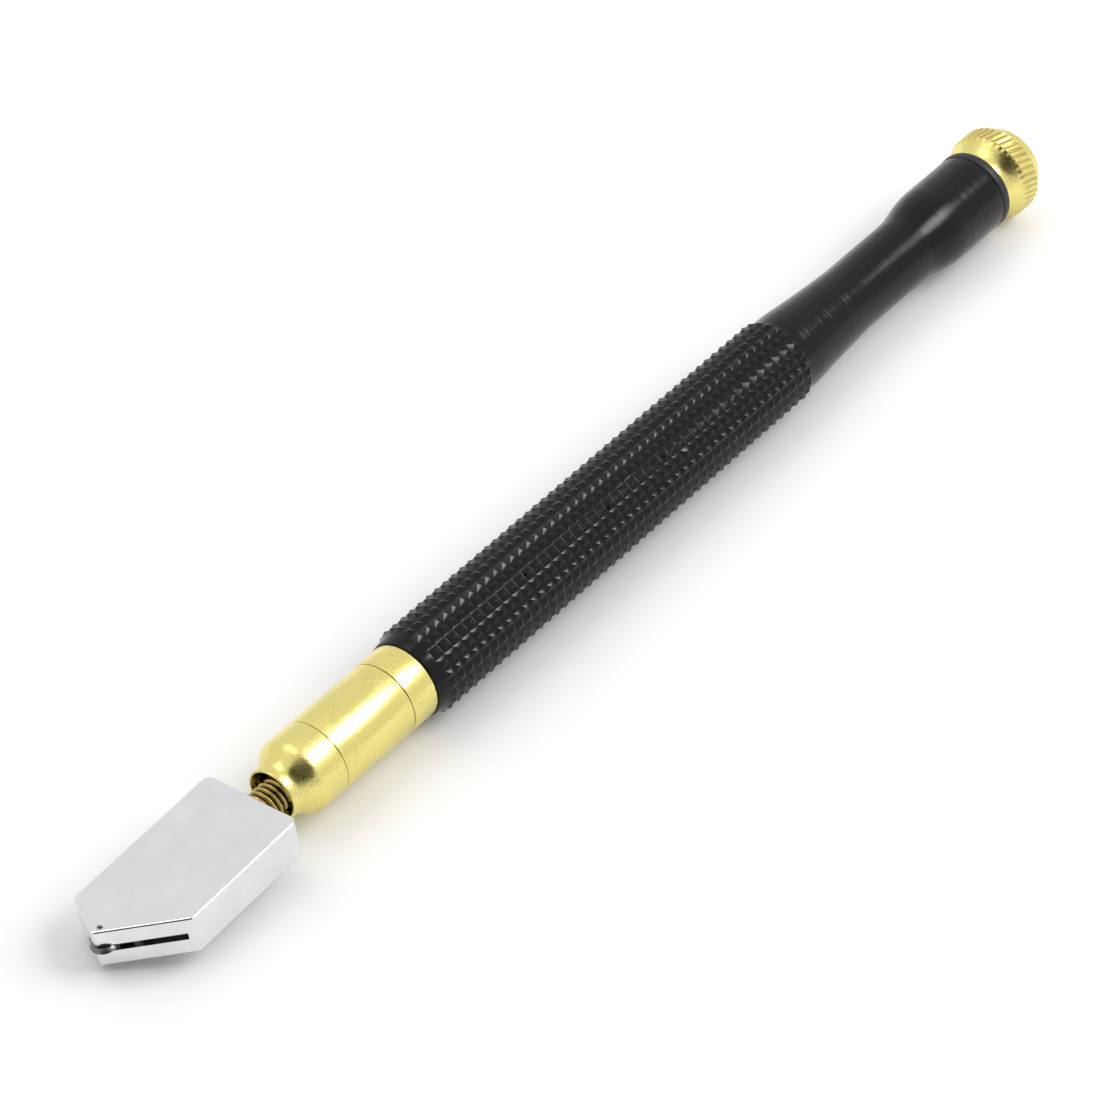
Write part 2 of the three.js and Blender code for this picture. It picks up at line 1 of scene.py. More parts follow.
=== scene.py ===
"""Visual model of a pencil-grip glass cutter that feeds oil from its handle.

Lengths in the classes are in millimetres. Stations run along the tool, from the rear face of the cutting
head towards the filler cap, and radii from the axis of the handle. Every piece is modelled about its own
axis and then placed by a matrix that comes from the frame.
"""

import json
import logging
import math
from dataclasses import dataclass
from enum import Enum
from functools import partial
from typing import Callable, Iterable, Sequence

import bmesh
import bpy
from mathutils import Matrix, Vector


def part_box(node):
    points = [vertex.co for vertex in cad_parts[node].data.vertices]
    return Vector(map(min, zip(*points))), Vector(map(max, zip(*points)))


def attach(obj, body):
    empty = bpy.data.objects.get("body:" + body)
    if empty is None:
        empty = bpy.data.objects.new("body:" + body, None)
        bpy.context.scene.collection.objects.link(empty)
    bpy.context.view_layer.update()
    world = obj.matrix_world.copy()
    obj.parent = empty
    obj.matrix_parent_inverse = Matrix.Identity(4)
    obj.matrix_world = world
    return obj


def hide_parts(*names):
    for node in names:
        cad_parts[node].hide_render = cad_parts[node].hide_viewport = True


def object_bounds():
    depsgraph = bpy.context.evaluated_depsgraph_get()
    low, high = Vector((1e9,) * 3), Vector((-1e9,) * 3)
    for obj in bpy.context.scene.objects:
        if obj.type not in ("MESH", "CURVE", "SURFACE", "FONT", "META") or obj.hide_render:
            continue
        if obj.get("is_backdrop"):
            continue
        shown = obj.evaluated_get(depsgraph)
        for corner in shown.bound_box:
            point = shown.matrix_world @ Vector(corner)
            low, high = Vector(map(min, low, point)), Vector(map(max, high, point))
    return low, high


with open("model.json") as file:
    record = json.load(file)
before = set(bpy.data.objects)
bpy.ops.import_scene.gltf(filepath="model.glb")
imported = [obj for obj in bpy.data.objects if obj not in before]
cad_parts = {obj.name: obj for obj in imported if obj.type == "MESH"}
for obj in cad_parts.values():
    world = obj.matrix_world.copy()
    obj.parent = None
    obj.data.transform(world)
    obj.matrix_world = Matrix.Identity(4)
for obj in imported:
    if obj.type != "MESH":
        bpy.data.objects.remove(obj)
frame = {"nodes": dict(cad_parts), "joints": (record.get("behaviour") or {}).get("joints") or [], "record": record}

log = logging.getLogger("glass_cutter")

MM = 0.001
Point = tuple[float, float]
Tree = bpy.types.NodeTree
Node = bpy.types.Node
Socket = bpy.types.NodeSocket
Inputs = dict[str | int, object]
Adder = Callable[..., Node]
Piece = bpy.types.Object
Solid = bmesh.types.BMesh

# Type names that come up in many trees.
MATH = "ShaderNodeMath"
VECTOR = "ShaderNodeVectorMath"
SPAN = "ShaderNodeMapRange"
MIX = "ShaderNodeMix"
BUMP = "ShaderNodeBump"
NUMBER = "NodeSocketFloat"


class Quality(Enum):
    """How many segments go round a turned surface."""

    PIN = 32
    INNER = 64
    ROUND = 96
    OUTER = 144
    RIDGED = 336


# ---- nodes and colours


def linear(code: str) -> tuple[float, float, float, float]:
    """Turn an sRGB hex colour into linear RGBA.

    Args:
        code: six hex digits.

    Returns:
        The colour as four linear floats.
    """
    channels = [int(code[i:i + 2], 16) / 255 for i in (0, 2, 4)]
    curve = [c / 12.92 if c <= 0.04045 else ((c + 0.055) / 1.055) ** 2.4 for c in channels]
    return curve[0], curve[1], curve[2], 1.0


def connect(tree: Tree, value: object, socket: Socket) -> None:
    """Feed a socket from another socket or a node's first output, or set its plain value.

    Args:
        tree: the tree of the socket.
        value: the output socket, the node or the plain value.
        socket: the input socket.
    """
    if isinstance(value, Node):
        value = value.outputs[0]
    if isinstance(value, Socket):
        tree.links.new(value, socket)
    else:
        socket.default_value = value


def add_node(tree: Tree, kind: str, inputs: Inputs | None = None, **settings: object) -> Node:
    """Add a node with its settings, and give its inputs values or links.

    Args:
        tree: the tree that the node goes into.
        kind: the node's type name.
        inputs: input name or number to what connect() takes.
        **settings: properties of the node itself.

    Returns:
        The new node.
    """
    node = tree.nodes.new(kind)
    for name, value in settings.items():
        setattr(node, name, value)
    for key, value in (inputs or {}).items():
        connect(tree, value, node.inputs[key])
    return node


# ---- finishes


@dataclass(frozen=True)
class Finish:
    """A surface finish: its material's name, the record's slot, and the shader's plain values."""

    name: str
    slot: str
    colour: str
    metallic: float = 0.0
    roughness: float = 0.4

    def build(self) -> bpy.types.Material:
        """Make the material, or return it if it exists.

        Returns:
            The material.
        """
        found = bpy.data.materials.get(self.name)
        if found:
            return found
        material = bpy.data.materials.new(self.name)
        material.use_nodes = True
        tree = material.node_tree
        tree.nodes.clear()
        shader = add_node(tree, "ShaderNodeBsdfPrincipled", {
            "Base Color": linear(self.colour), "Metallic": self.metallic, "Roughness": self.roughness})
        add_node(tree, "ShaderNodeOutputMaterial", {"Surface": shader})
        place = add_node(tree, "ShaderNodeTexCoord").outputs["Object"]
        for name, value in self.dress(partial(add_node, tree), place).items():
            connect(tree, value, shader.inputs[name])
        return material

    def dress(self, add: Adder, place: Socket) -> dict[str, object]:
        """Add the finish's own pattern. The plain finish has none.

        Args:
            add: adds a node to the material.
            place: the piece's own coordinates, in metres.

        Returns:
            Input name of the shader to what feeds it.
        """
        return {}

    def blotches(self, add: Adder, place: Socket, sizes_mm: Sequence[float], detail: float = 2.0) -> Node:
        """Add a noise whose blotches have the given size along each axis.

        Args:
            add: adds a node to the material.
            place: the coordinates it reads.
            sizes_mm: the size of a blotch along X, Y and Z.
            detail: octaves of finer noise.

        Returns:
            The noise, from 0 to 1.
        """
        spread = add("ShaderNodeMapping", {"Vector": place, "Scale": [1 / (size * MM) for size in sizes_mm]})
        return add("ShaderNodeTexNoise", {"Vector": spread, "Scale": 1.0, "Detail": detail})


@dataclass(frozen=True)
class ChromePlate(Finish):
    """Bright chrome on die-cast zinc."""

    peel_mm: float = 1.6
    scratch_mm: float = 0.06
    haze: str = "dddfe2"

    def dress(self, add: Adder, place: Socket) -> dict[str, object]:
        """Orange peel, fine scuffs along the head and a faint milky haze, as Finish.dress() says."""
        peel = self.blotches(add, place, (self.peel_mm,) * 3)
        scuffs = self.blotches(add, place, (2.4, self.scratch_mm, self.scratch_mm), 3.0)
        haze = self.blotches(add, place, (4.0, 3.0, 3.0), 4.0)
        rough = add(SPAN, {0: haze, 1: 0.35, 2: 0.7, 3: self.roughness * 0.8, 4: self.roughness * 1.35})
        milky = add(SPAN, {0: haze, 1: 0.3, 2: 0.7})
        tint = add(MIX, {0: milky, 6: linear(self.colour), 7: linear(self.haze)}, data_type="RGBA")
        wavy = add(BUMP, {"Height": peel, "Strength": 0.06, "Distance": 0.05 * MM})
        fine = add(BUMP, {"Height": scuffs, "Strength": 0.05, "Distance": 0.01 * MM, "Normal": wavy})
        return {"Base Color": tint.outputs[2], "Roughness": rough, "Normal": fine}


@dataclass(frozen=True)
class TurnedBrass(Finish):
    """Lacquered turned brass, darker where a ridge tree has cut it: painted shade with dirt in the grooves."""

    ring_mm: float = 0.12
    speckle_mm: float = 0.3
    tarnish: str = "b49c58"
    # Colour of the cut grooves: painted shade, with some dirt.
    groove: str = "b7a35a"
    ring_strength: float = 0.12

    def dress(self, add: Adder, place: Socket) -> dict[str, object]:
        """Tool rings, pits in worn patches, and tarnish in the same patches, as Finish.dress() says."""
        rings = self.blotches(add, place, (self.ring_mm, 30.0, 30.0))
        speckle = self.blotches(add, place, (self.speckle_mm,) * 3)
        patches = self.blotches(add, place, (5.0, 3.5, 3.5), 3.0)
        worn = add(SPAN, {0: patches, 1: 0.42, 2: 0.62})
        spots = add(SPAN, {0: speckle, 1: 0.5, 2: 0.72})
        stain = add(MATH, {0: worn, 1: spots}, operation="MULTIPLY")
        faint = add(MATH, {0: stain, 1: 0.55}, operation="MULTIPLY")
        stained = add(MIX, {0: faint, 6: linear(self.colour), 7: linear(self.tarnish)}, data_type="RGBA")
        # The deeper the cut, the nearer to the groove colour: painted shade in the grooves, with some dirt.
        cut = add("ShaderNodeAttribute", attribute_name="cut").outputs["Fac"]
        groove_shade_and_dirt = add(MIX, {0: cut, 6: stained.outputs[2], 7: linear(self.groove)}, data_type="RGBA")
        rough = add(SPAN, {0: worn, 3: self.roughness, 4: self.roughness * 1.5})
        turned = add(BUMP, {"Height": rings, "Strength": self.ring_strength, "Distance": 0.012 * MM})
        pitted = add(BUMP, {"Height": stain, "Strength": 0.5, "Distance": 0.03 * MM, "Normal": turned})
        return {"Base Color": groove_shade_and_dirt.outputs[2], "Roughness": rough, "Normal": pitted}


@dataclass(frozen=True)
class BlackCoat(Finish):
    """Aluminium, turned and then coated glossy black: tool rings show through behind the grip."""

    specular: float = 0.24
    ring_mm: float = 0.24
    ring_depth_mm: float = 0.055
    turned_roughness: float = 0.17
    rings_behind_mm: float = 38.5
    grain_mm: float = 0.12

    def dress(self, add: Adder, place: Socket) -> dict[str, object]:
        """Rings that break up the highlight, and a fine grain in the coat, as Finish.dress() says."""
        start = self.rings_behind_mm * MM
        bare = add(SPAN, {0: add("ShaderNodeSeparateXYZ", {0: place}), 1: start, 2: start + 1.5 * MM})
        ripple = self.blotches(add, place, (self.ring_mm, 40.0, 40.0), 3.0)
        rings = add(MATH, {0: ripple, 1: bare}, operation="MULTIPLY")
        grain = self.blotches(add, place, (self.grain_mm,) * 3)
        uneven = add(SPAN, {0: grain, 1: 0.3, 2: 0.7, 3: 0.8, 4: 1.3})
        base = add(SPAN, {0: bare, 3: self.roughness, 4: self.turned_roughness})
        rough = add(MATH, {0: uneven, 1: base}, operation="MULTIPLY")
        turned = add(BUMP, {"Height": rings, "Strength": 1.0, "Distance": self.ring_depth_mm * MM})
        grainy = add(BUMP, {"Height": grain, "Strength": 0.12, "Distance": 0.01 * MM, "Normal": turned})
        return {"Specular IOR Level": self.specular, "Roughness": rough, "Normal": grainy}


@dataclass(frozen=True)
class GrainyFinish(Finish):
    """A finish with one even grain."""

    grain_mm: tuple[float, float, float] = (0.1, 0.1, 0.1)
    depth_mm: float = 0.01
    second_colour: str = "000000"

    def dress(self, add: Adder, place: Socket) -> dict[str, object]:
        """Grain in the colour, the roughness and the relief, as Finish.dress() says."""
        grain = self.blotches(add, place, self.grain_mm, 3.0)
        tint = add(MIX, {0: grain, 6: linear(self.colour), 7: linear(self.second_colour)}, data_type="RGBA")
        rough = add(SPAN, {0: grain, 1: 0.3, 2: 0.7, 3: self.roughness * 0.8, 4: self.roughness * 1.2})
        bump = add(BUMP, {"Height": grain, "Strength": 0.5, "Distance": self.depth_mm * MM})
        return {"Base Color": tint.outputs[2], "Roughness": rough, "Normal": bump}


# A pale, slightly blue mirror, softened by the casting's orange peel and by handling.
CHROME = ChromePlate("chrome_on_die_cast_zinc", "chrome_plate", "e6e8ea", 1.0, 0.16)
# A lemon-yellow shine with thin tool rings; brown pits come up in patches where the lacquer has worn.
# Its cut ridges turn darker: painted shade with some dirt in the grooves.
BRASS = TurnedBrass("turned_lacquered_brass", "bright_brass", "e9dc88", 1.0, 0.2)
# The same brass without lacquer: browner, bright on its crests and nearly black in its grooves, with painted shade
# and oil there.
THREAD_BRASS = TurnedBrass(
    "cut_brass_thread", "stem_brass", "d2b76c", 1.0, 0.2, groove="20170a", ring_strength=0.05)
# Deep black with narrow, sharp highlights. The rings are drawn coarser than a tool leaves them, to show.
BLACK = BlackCoat("black_coated_aluminium", "black_aluminium", "050505", 0.0, 0.14)
# Blue-black and dull, with a soft wide sheen.
RUBBER = GrainyFinish("moulded_nitrile_rubber", "rubber", "0c0d12", 0.0, 0.5, (0.15,) * 3, 0.01, "14151b")
# Dark grey metal with a satin shine from the grinding wheel, whose lines run round the edge.
CARBIDE = GrainyFinish(
    "ground_tungsten_carbide", "carbide", "85868a", 1.0, 0.34, (0.04, 0.04, 0.4), 0.004, "66676b")
# Mid-grey metal with faint lines drawn out along the wire.
STEEL = GrainyFinish("drawn_steel", "steel", "8e9093", 1.0, 0.3, (0.5, 0.05, 0.05), 0.005, "74767a")
# Off-white and quite matt, with strands along the wick.
COTTON = GrainyFinish("twisted_cotton", "cotton", "e8e2d2", 0.0, 0.95, (0.25, 0.08, 0.08), 0.05, "cfc6ad")
# Brick red and matt, with flat fibres across the sheet.
FIBRE = GrainyFinish("pressed_red_fibre", "fibre", "8a3a2c", 0.0, 0.8, (0.1, 0.3, 0.3), 0.02, "6f2a20")
# A neutral, matt white without a shine of its own.
PAPER = GrainyFinish("matt_white_paper", "", "f7f7f7", 0.0, 0.9, (3.0,) * 3, 0.002, "f5f5f5")
# Flock that swallows light, so that it reflects as a dark room.
FLOCK = Finish("black_flock", "", "040404", 0.0, 0.95)


# ---- placing


@dataclass(frozen=True)
class Layout:
    """Where the tool's axis lies in the frame, and how the floating head is tipped."""

    mouth_station: float = 2.7
    float_station: float = 10.0

    def axis(self) -> Matrix:
        """Placement of the handle's pieces: stations in millimetres to metres in the frame.

        Returns:
            The placement.
        """
        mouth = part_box("nose_cap")[0].x
        low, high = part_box("handle_tube")
        origin = Vector((mouth - self.mouth_station * MM, (low.y + high.y) / 2, (low.z + high.z) / 2))
        return Matrix.Translation(origin) @ Matrix.Scale(MM, 4)

    def head(self) -> Matrix:
        """Placement of the floating pieces: the same, tipped about the ball's centre.

        Returns:
            The placement.
        """
        axes = {joint["name"]: joint["axis"] for joint in frame["joints"]}
        droop = math.atan2(-axes["head_turn"][2], -axes["head_turn"][0])
        roll = -math.asin(axes["wheel_spin"][1])
        pivot = Matrix.Translation((self.float_station, 0, 0))
        attitude = Matrix.Rotation(-droop, 4, "Y") @ Matrix.Rotation(roll, 4, "X")
        return self.axis() @ pivot @ attitude @ pivot.inverted()


# ---- meshes


def bend(entry: Vector, corner: Vector, leave: Vector, steps: int) -> list[Vector]:
    """Points of a smooth curve that rounds a corner."""
    shares = [k / steps for k in range(steps + 1)]
    return [entry * (1 - t) ** 2 + corner * 2 * t * (1 - t) + leave * t ** 2 for t in shares]


def sweep(start: Point, end: Point, steps: int, rise: Callable[[float], float],
          run: Callable[[float], float] = float) -> list[Point]:
    """Points of a curved line of an outline, without its first point.

    Args:
        start: station and radius that it starts from.
        end: station and radius that it ends at.
        steps: how many points.
        rise: share of the way in radius, from the share of the points.
        run: share of the way in station, from the share of the points.

    Returns:
        The points after the start.
    """
    shares = [k / steps for k in range(1, steps + 1)]
    length, height = end[0] - start[0], end[1] - start[1]
    return [(start[0] + length * run(t), start[1] + height * rise(t)) for t in shares]


def fillet(outline: Sequence[Point], radius: float, steps: int = 4, closed: bool = True) -> list[Point]:
    """Round the corners of an outline.

    Args:
        outline: the corners.
        radius: how far from each corner the rounding starts, less where a side is short.
        steps: sides of each rounding.
        closed: whether the outline closes on itself.

    Returns:
        The outline with its corners rounded.
    """
    count = len(outline)
    made: list[Point] = []
    for i, corner in enumerate(outline):
        if not closed and i in (0, count - 1):
            made.append(corner)
            continue
        here = Vector(corner)
        before, after = Vector(outline[i - 1]) - here, Vector(outline[(i + 1) % count]) - here
        reach = min(radius, before.length * 0.45, after.length * 0.45)
        straight = before.length < 1e-6 or after.length < 1e-6 or before.angle(-after) < math.radians(8)
        if straight or reach < 1e-4:
            made.append(corner)
            continue
        entry, leave = here + before.normalized() * reach, here + after.normalized() * reach
        made += [(point.x, point.y) for point in bend(entry, here, leave, steps)]
    return made


def revolve(outline: Sequence[Point], quality: Quality, closed: bool = True) -> Solid:
    """Turn an outline of (station, radius) about the X axis.

    Args:
        outline: the outline, closed on itself or starting and ending on the axis.
        quality: how many segments go round the axis.
        closed: whether the last point joins the first.

    Returns:
        A closed mesh in millimetres.
    """
    made, segments = bmesh.new(), quality.value
    rings = []
    for station, radius in outline:
        if radius < 1e-6:
            rings.append([made.verts.new((station, 0, 0))] * segments)
            continue
        angles = (2 * math.pi * k / segments for k in range(segments))
        rings.append([made.verts.new((station, radius * math.sin(a), radius * math.cos(a))) for a in angles])
    pairs = list(zip(rings, rings[1:] + rings[:1])) if closed else list(zip(rings, rings[1:]))
    for ring, following in pairs:
        for k in range(segments):
            n = (k + 1) % segments
            corners = list(dict.fromkeys((ring[k], ring[n], following[n], following[k])))
            if len(corners) > 2:
                made.faces.new(corners)
    bmesh.ops.recalc_face_normals(made, faces=made.faces)
    return made


def to_object(name: str, made: Solid, finish: Finish, place: Matrix | None = None,
              sharp_degrees: float = 32.0) -> Piece:
    """Put a mesh into the scene, in its place and finish.

    Args:
        name: the piece's name.
        made: its mesh, which is freed.
        finish: its finish.
        place: matrix from the mesh's millimetres to the frame, or None to leave it as it is.
        sharp_degrees: edges that bend by more stay sharp.

    Returns:
        The new object, standing at the origin.
    """
    mesh = bpy.data.meshes.new(name)
    if place:
        made.transform(place)
    made.to_mesh(mesh)
    made.free()
    mesh.materials.append(finish.build())
    smooth(mesh, sharp_degrees)
    piece = bpy.data.objects.new(name, mesh)
    bpy.context.scene.collection.objects.link(piece)
    return piece


def turn(name: str, node: str, outline: Sequence[Point], finish: Finish, place: Matrix,
         quality: Quality = Quality.OUTER, closed: bool = True) -> None:
    """Turn a piece, dress it and let it stand for its node.

    Args:
        name: the piece's name.
        node: the CAD node that it stands for.
        outline: its outline, as revolve() takes it.
        finish: its finish.
        place: matrix from the outline's millimetres to the frame.
        quality: how many segments go round it.
        closed: whether the outline closes on itself.
    """
    hand_over(to_object(name, revolve(outline, quality, closed), finish, place), finish, node)


def smooth(mesh: bpy.types.Mesh, sharp_degrees: float) -> None:
    """Shade a mesh smooth but for the edges that bend by more than the angle."""
    mesh.polygons.foreach_set("use_smooth", [True] * len(mesh.polygons))
    mesh.set_sharp_from_angle(angle=math.radians(sharp_degrees))


def bake(piece: Piece) -> None:
    """Replace a piece's mesh by its evaluated one and remove its modifiers.

    Args:
        piece: the piece.
    """
    graph = bpy.context.evaluated_depsgraph_get()
    mesh = bpy.data.meshes.new_from_object(piece.evaluated_get(graph), depsgraph=graph)
    piece.modifiers.clear()
    old, piece.data = piece.data, mesh
    bpy.data.meshes.remove(old)
    mesh.name = piece.name


def soften(piece: Piece, width: float, degrees: float) -> None:
    """Round every edge of a piece that bends by more than the angle.

    Args:
        piece: the piece.
        width: how far from the edge the rounding starts.
        degrees: the least angle that is rounded.
    """
    rounded = piece.modifiers.new("soften", "BEVEL")
    rounded.width, rounded.segments = width, 2
    rounded.limit_method, rounded.angle_limit = "ANGLE", math.radians(degrees)
    bake(piece)


def cut_out(piece: Piece, spaces: Iterable[Solid], finish: Finish) -> None:
    """Cut spaces out of a piece.

    Args:
        piece: the piece.
        spaces: closed solids, each freed after its cut.
        finish: the finish of the cut faces.
    """
    for space in spaces:
        tool = to_object("cutter", space, finish)
        cut = piece.modifiers.new("cut", "BOOLEAN")
        cut.operation, cut.solver, cut.object = "DIFFERENCE", "EXACT", tool
        bake(piece)
        bpy.data.objects.remove(tool)


def run_tree(piece: Piece, tree: Tree, values: dict[str, object]) -> None:
    """Run a geometry node tree on a piece and keep the result as its mesh.

    Args:
        piece: the piece.
        tree: the tree.
        values: input name to value.
    """
    modifier = piece.modifiers.new(tree.name, "NODES")
    modifier.node_group = tree
    for item in tree.interface.items_tree:
        if item.item_type == "SOCKET" and item.in_out == "INPUT" and item.name in values:
            modifier[item.identifier] = values[item.name]
    bake(piece)


def move(piece: Piece, place: Matrix) -> None:
    """Place a piece's mesh in the frame, leaving the object at the origin."""
    piece.data.transform(place)


def hand_over(piece: Piece, finish: Finish, node: str) -> None:
    """Let a piece stand for a CAD node and ride on that node's body.

    Args:
        piece: the piece, in its place.
        finish: not used.
        node: the CAD node.
    """
    body = next(b for b, nodes in frame["record"]["behaviour"]["bodies"].items() if node in nodes)
    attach(piece, body)
    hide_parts(node)
    log.info("%s stands for %s: %d faces", piece.name, node, len(piece.data.polygons))


# ---- geometry node trees


def new_tree(name: str, inputs: dict[str, str]) -> tuple[Tree, Node]:
    """Start a geometry node tree.

    Args:
        name: the tree's name.
        inputs: input name to socket type, after the geometry itself.

    Returns:
        The tree and its input node.
    """
    tree = bpy.data.node_groups.new(name, "GeometryNodeTree")
    tree.interface.new_socket("Geometry", in_out="INPUT", socket_type="NodeSocketGeometry")
    tree.interface.new_socket("Geometry", in_out="OUTPUT", socket_type="NodeSocketGeometry")
    for label, kind in inputs.items():
        tree.interface.new_socket(label, in_out="INPUT", socket_type=kind)
    return tree, add_node(tree, "NodeGroupInput")


def end_tree(tree: Tree, geometry: Node, finish: Finish) -> Tree:
    """End a tree in real geometry with its material.

    Args:
        tree: the tree.
        geometry: the node that gives its geometry.
        finish: the finish that the geometry gets.

    Returns:
        The same tree, complete.
    """
    real = add_node(tree, "GeometryNodeRealizeInstances", {"Geometry": geometry})
    dressed = add_node(tree, "GeometryNodeSetMaterial", {"Geometry": real, "Material": finish.build()})
    add_node(tree, "NodeGroupOutput", {"Geometry": dressed})
    return tree


def ridge_tree(finish: Finish) -> Tree:
    """Cut V grooves that wind round the X axis: one start makes a screw thread, many make serrations.

    Inputs: Starts, Lead, Depth, From, To, Fade, Least Radius, Crest and Root, in the mesh's own units. The
    share of the depth that a point is cut by is kept as the attribute "cut".

    Args:
        finish: the finish of the ridged piece.

    Returns:
        The tree.
    """
    tree, given = new_tree("winding_ridges", dict.fromkeys(
        ("Starts", "Lead", "Depth", "From", "To", "Fade", "Least Radius", "Crest", "Root"), NUMBER))
    add, value = partial(add_node, tree), given.outputs
    part = add("ShaderNodeSeparateXYZ", {0: add("GeometryNodeInputPosition")}).outputs
    angle = add(MATH, {0: part["Y"], 1: part["Z"]}, operation="ARCTAN2")
    turns = add(MATH, {0: angle, 1: 2 * math.pi}, operation="DIVIDE")
    leads = add(MATH, {0: part["X"], 1: value["Lead"]}, operation="DIVIDE")
    wound = add(MATH, {0: turns, 1: value["Starts"], 2: leads}, operation="MULTIPLY_ADD")
    saw = add(MATH, {0: wound, 1: 1.0}, operation="FLOORED_MODULO")
    folded = add(MATH, {0: add(MATH, {0: saw, 1: 0.5}, operation="SUBTRACT")}, operation="ABSOLUTE")
    valley = add(MATH, {0: folded, 1: 2.0}, operation="MULTIPLY")
    cut = add(SPAN, {0: valley, 1: value["Crest"], 2: value["Root"]})
    behind = add(MATH, {0: part["X"], 1: value["From"]}, operation="SUBTRACT")
    before = add(MATH, {0: value["To"], 1: part["X"]}, operation="SUBTRACT")
    nearer = add(MATH, {0: behind, 1: before}, operation="MINIMUM")
    ends = add("ShaderNodeClamp", {0: add(MATH, {0: nearer, 1: value["Fade"]}, operation="DIVIDE")})
    flat = add("ShaderNodeCombineXYZ", {1: part["Y"], 2: part["Z"]})
    radius = add(VECTOR, {0: flat}, operation="LENGTH").outputs["Value"]
    outer = add(MATH, {0: radius, 1: value["Least Radius"]}, operation="GREATER_THAN")
    faded = add(MATH, {0: cut, 1: ends}, operation="MULTIPLY")
    share = add(MATH, {0: faded, 1: outer}, operation="MULTIPLY")
    depth = add(MATH, {0: share, 1: value["Depth"]}, operation="MULTIPLY")
    inward = add(MATH, {0: depth, 1: -1.0}, operation="MULTIPLY")
    outward = add(VECTOR, {0: flat}, operation="NORMALIZE")
    shift = add(VECTOR, {0: outward, "Scale": inward}, operation="SCALE")
    earlier = add("GeometryNodeInputNamedAttribute", {"Name": "cut"}, data_type="FLOAT")
    deepest = add(MATH, {0: earlier, 1: share}, operation="MAXIMUM")
    noted = add("GeometryNodeStoreNamedAttribute", {
        "Geometry": value["Geometry"], "Name": "cut", "Value": deepest}, data_type="FLOAT", domain="POINT")
    return end_tree(tree, add("GeometryNodeSetPosition", {"Geometry": noted, "Offset": shift}), finish)


def knurl_tree(finish: Finish) -> Tree:
    """Set one tooth of the knurl on every place round and along the grip, and weld it to the handle.

    Inputs: Tooth, Around, Along, First, Pitch, Weld, Wander, Wander Size and Seed, in the mesh's own units.

    Args:
        finish: the finish of the knurled piece.

    Returns:
        The tree.
    """
    tree, given = new_tree("pyramid_knurl", {
        "Tooth": "NodeSocketObject", "Around": "NodeSocketInt", "Along": "NodeSocketInt",
    } | dict.fromkeys(("First", "Pitch", "Weld", "Wander", "Wander Size", "Seed"), NUMBER))
    add, value = partial(add_node, tree), given.outputs
    count = add(MATH, {0: value["Around"], 1: value["Along"]}, operation="MULTIPLY")
    index = add("GeometryNodeInputIndex")
    middle = add(MATH, {0: index, 1: 0.5}, operation="ADD")
    row = add(MATH, {0: add(MATH, {0: middle, 1: value["Around"]}, operation="DIVIDE")}, operation="FLOOR")
    station = add(MATH, {0: row, 1: value["Pitch"], 2: value["First"]}, operation="MULTIPLY_ADD")
    angle = add(MATH, {0: index, 1: 2 * math.pi}, operation="MULTIPLY")
    turn = add(MATH, {0: angle, 1: value["Around"]}, operation="DIVIDE")
    placed = add("GeometryNodeSetPosition", {
        "Geometry": add("GeometryNodePoints", {"Count": count}),
        "Position": add("ShaderNodeCombineXYZ", {0: station})})
    tooth = add("GeometryNodeObjectInfo", {"Object": value["Tooth"]}).outputs["Geometry"]
    teeth = add("GeometryNodeInstanceOnPoints", {
        "Points": placed, "Instance": tooth,
        "Rotation": add("FunctionNodeEulerToRotation", {0: add("ShaderNodeCombineXYZ", {0: turn})})})
    joined = add("GeometryNodeJoinGeometry", {0: add("GeometryNodeRealizeInstances", {0: teeth})})
    tree.links.new(value["Geometry"], joined.inputs[0])
    welded = add("GeometryNodeMergeByDistance", {"Geometry": joined, "Distance": value["Weld"]})
    here = add("GeometryNodeInputPosition")
    x = add("ShaderNodeSeparateXYZ", {0: here})
    end = add(MATH, {0: value["Along"], 1: value["Pitch"], 2: value["First"]}, operation="MULTIPLY_ADD")
    behind = add(MATH, {0: x, 1: value["First"]}, operation="GREATER_THAN")
    before = add(MATH, {0: x, 1: end}, operation="LESS_THAN")
    inside = add(MATH, {0: behind, 1: before}, operation="MULTIPLY")
    uneven = add("ShaderNodeTexNoise", {
        "Vector": here, "W": value["Seed"], "Detail": 1.0,
        "Scale": add(MATH, {0: 1.0, 1: value["Wander Size"]}, operation="DIVIDE"),
    }, noise_dimensions="4D").outputs["Color"]
    centred = add(VECTOR, {0: uneven, 1: (0.5, 0.5, 0.5)}, operation="SUBTRACT")
    reach = add(MATH, {0: inside, 1: value["Wander"]}, operation="MULTIPLY")
    shift = add(VECTOR, {0: centred, "Scale": reach}, operation="SCALE")
    return end_tree(tree, add("GeometryNodeSetPosition", {"Geometry": welded, "Offset": shift}), finish)


def coil_tree(finish: Finish) -> Tree:
    """Wind a round wire into a coil along Z. Inputs: Turns, Coil Radius, Length and Wire Radius.

    Args:
        finish: the finish of the wire.

    Returns:
        The tree.
    """
    names = ("Turns", "Coil Radius", "Length", "Wire Radius")
    tree, given = new_tree("wound_coil", dict.fromkeys(names, NUMBER))
    add, value = partial(add_node, tree), given.outputs
    line = add("GeometryNodeCurveSpiral", {
        "Resolution": 32, "Rotations": value["Turns"], "Start Radius": value["Coil Radius"],
        "End Radius": value["Coil Radius"], "Height": value["Length"]})
    wire = add("GeometryNodeCurvePrimitiveCircle", {"Resolution": 16, "Radius": value["Wire Radius"]})
    swept = add("GeometryNodeCurveToMesh", {"Curve": line, "Profile Curve": wire, "Fill Caps": True})
    return end_tree(tree, swept, finish)


# ---- sub-assemblies


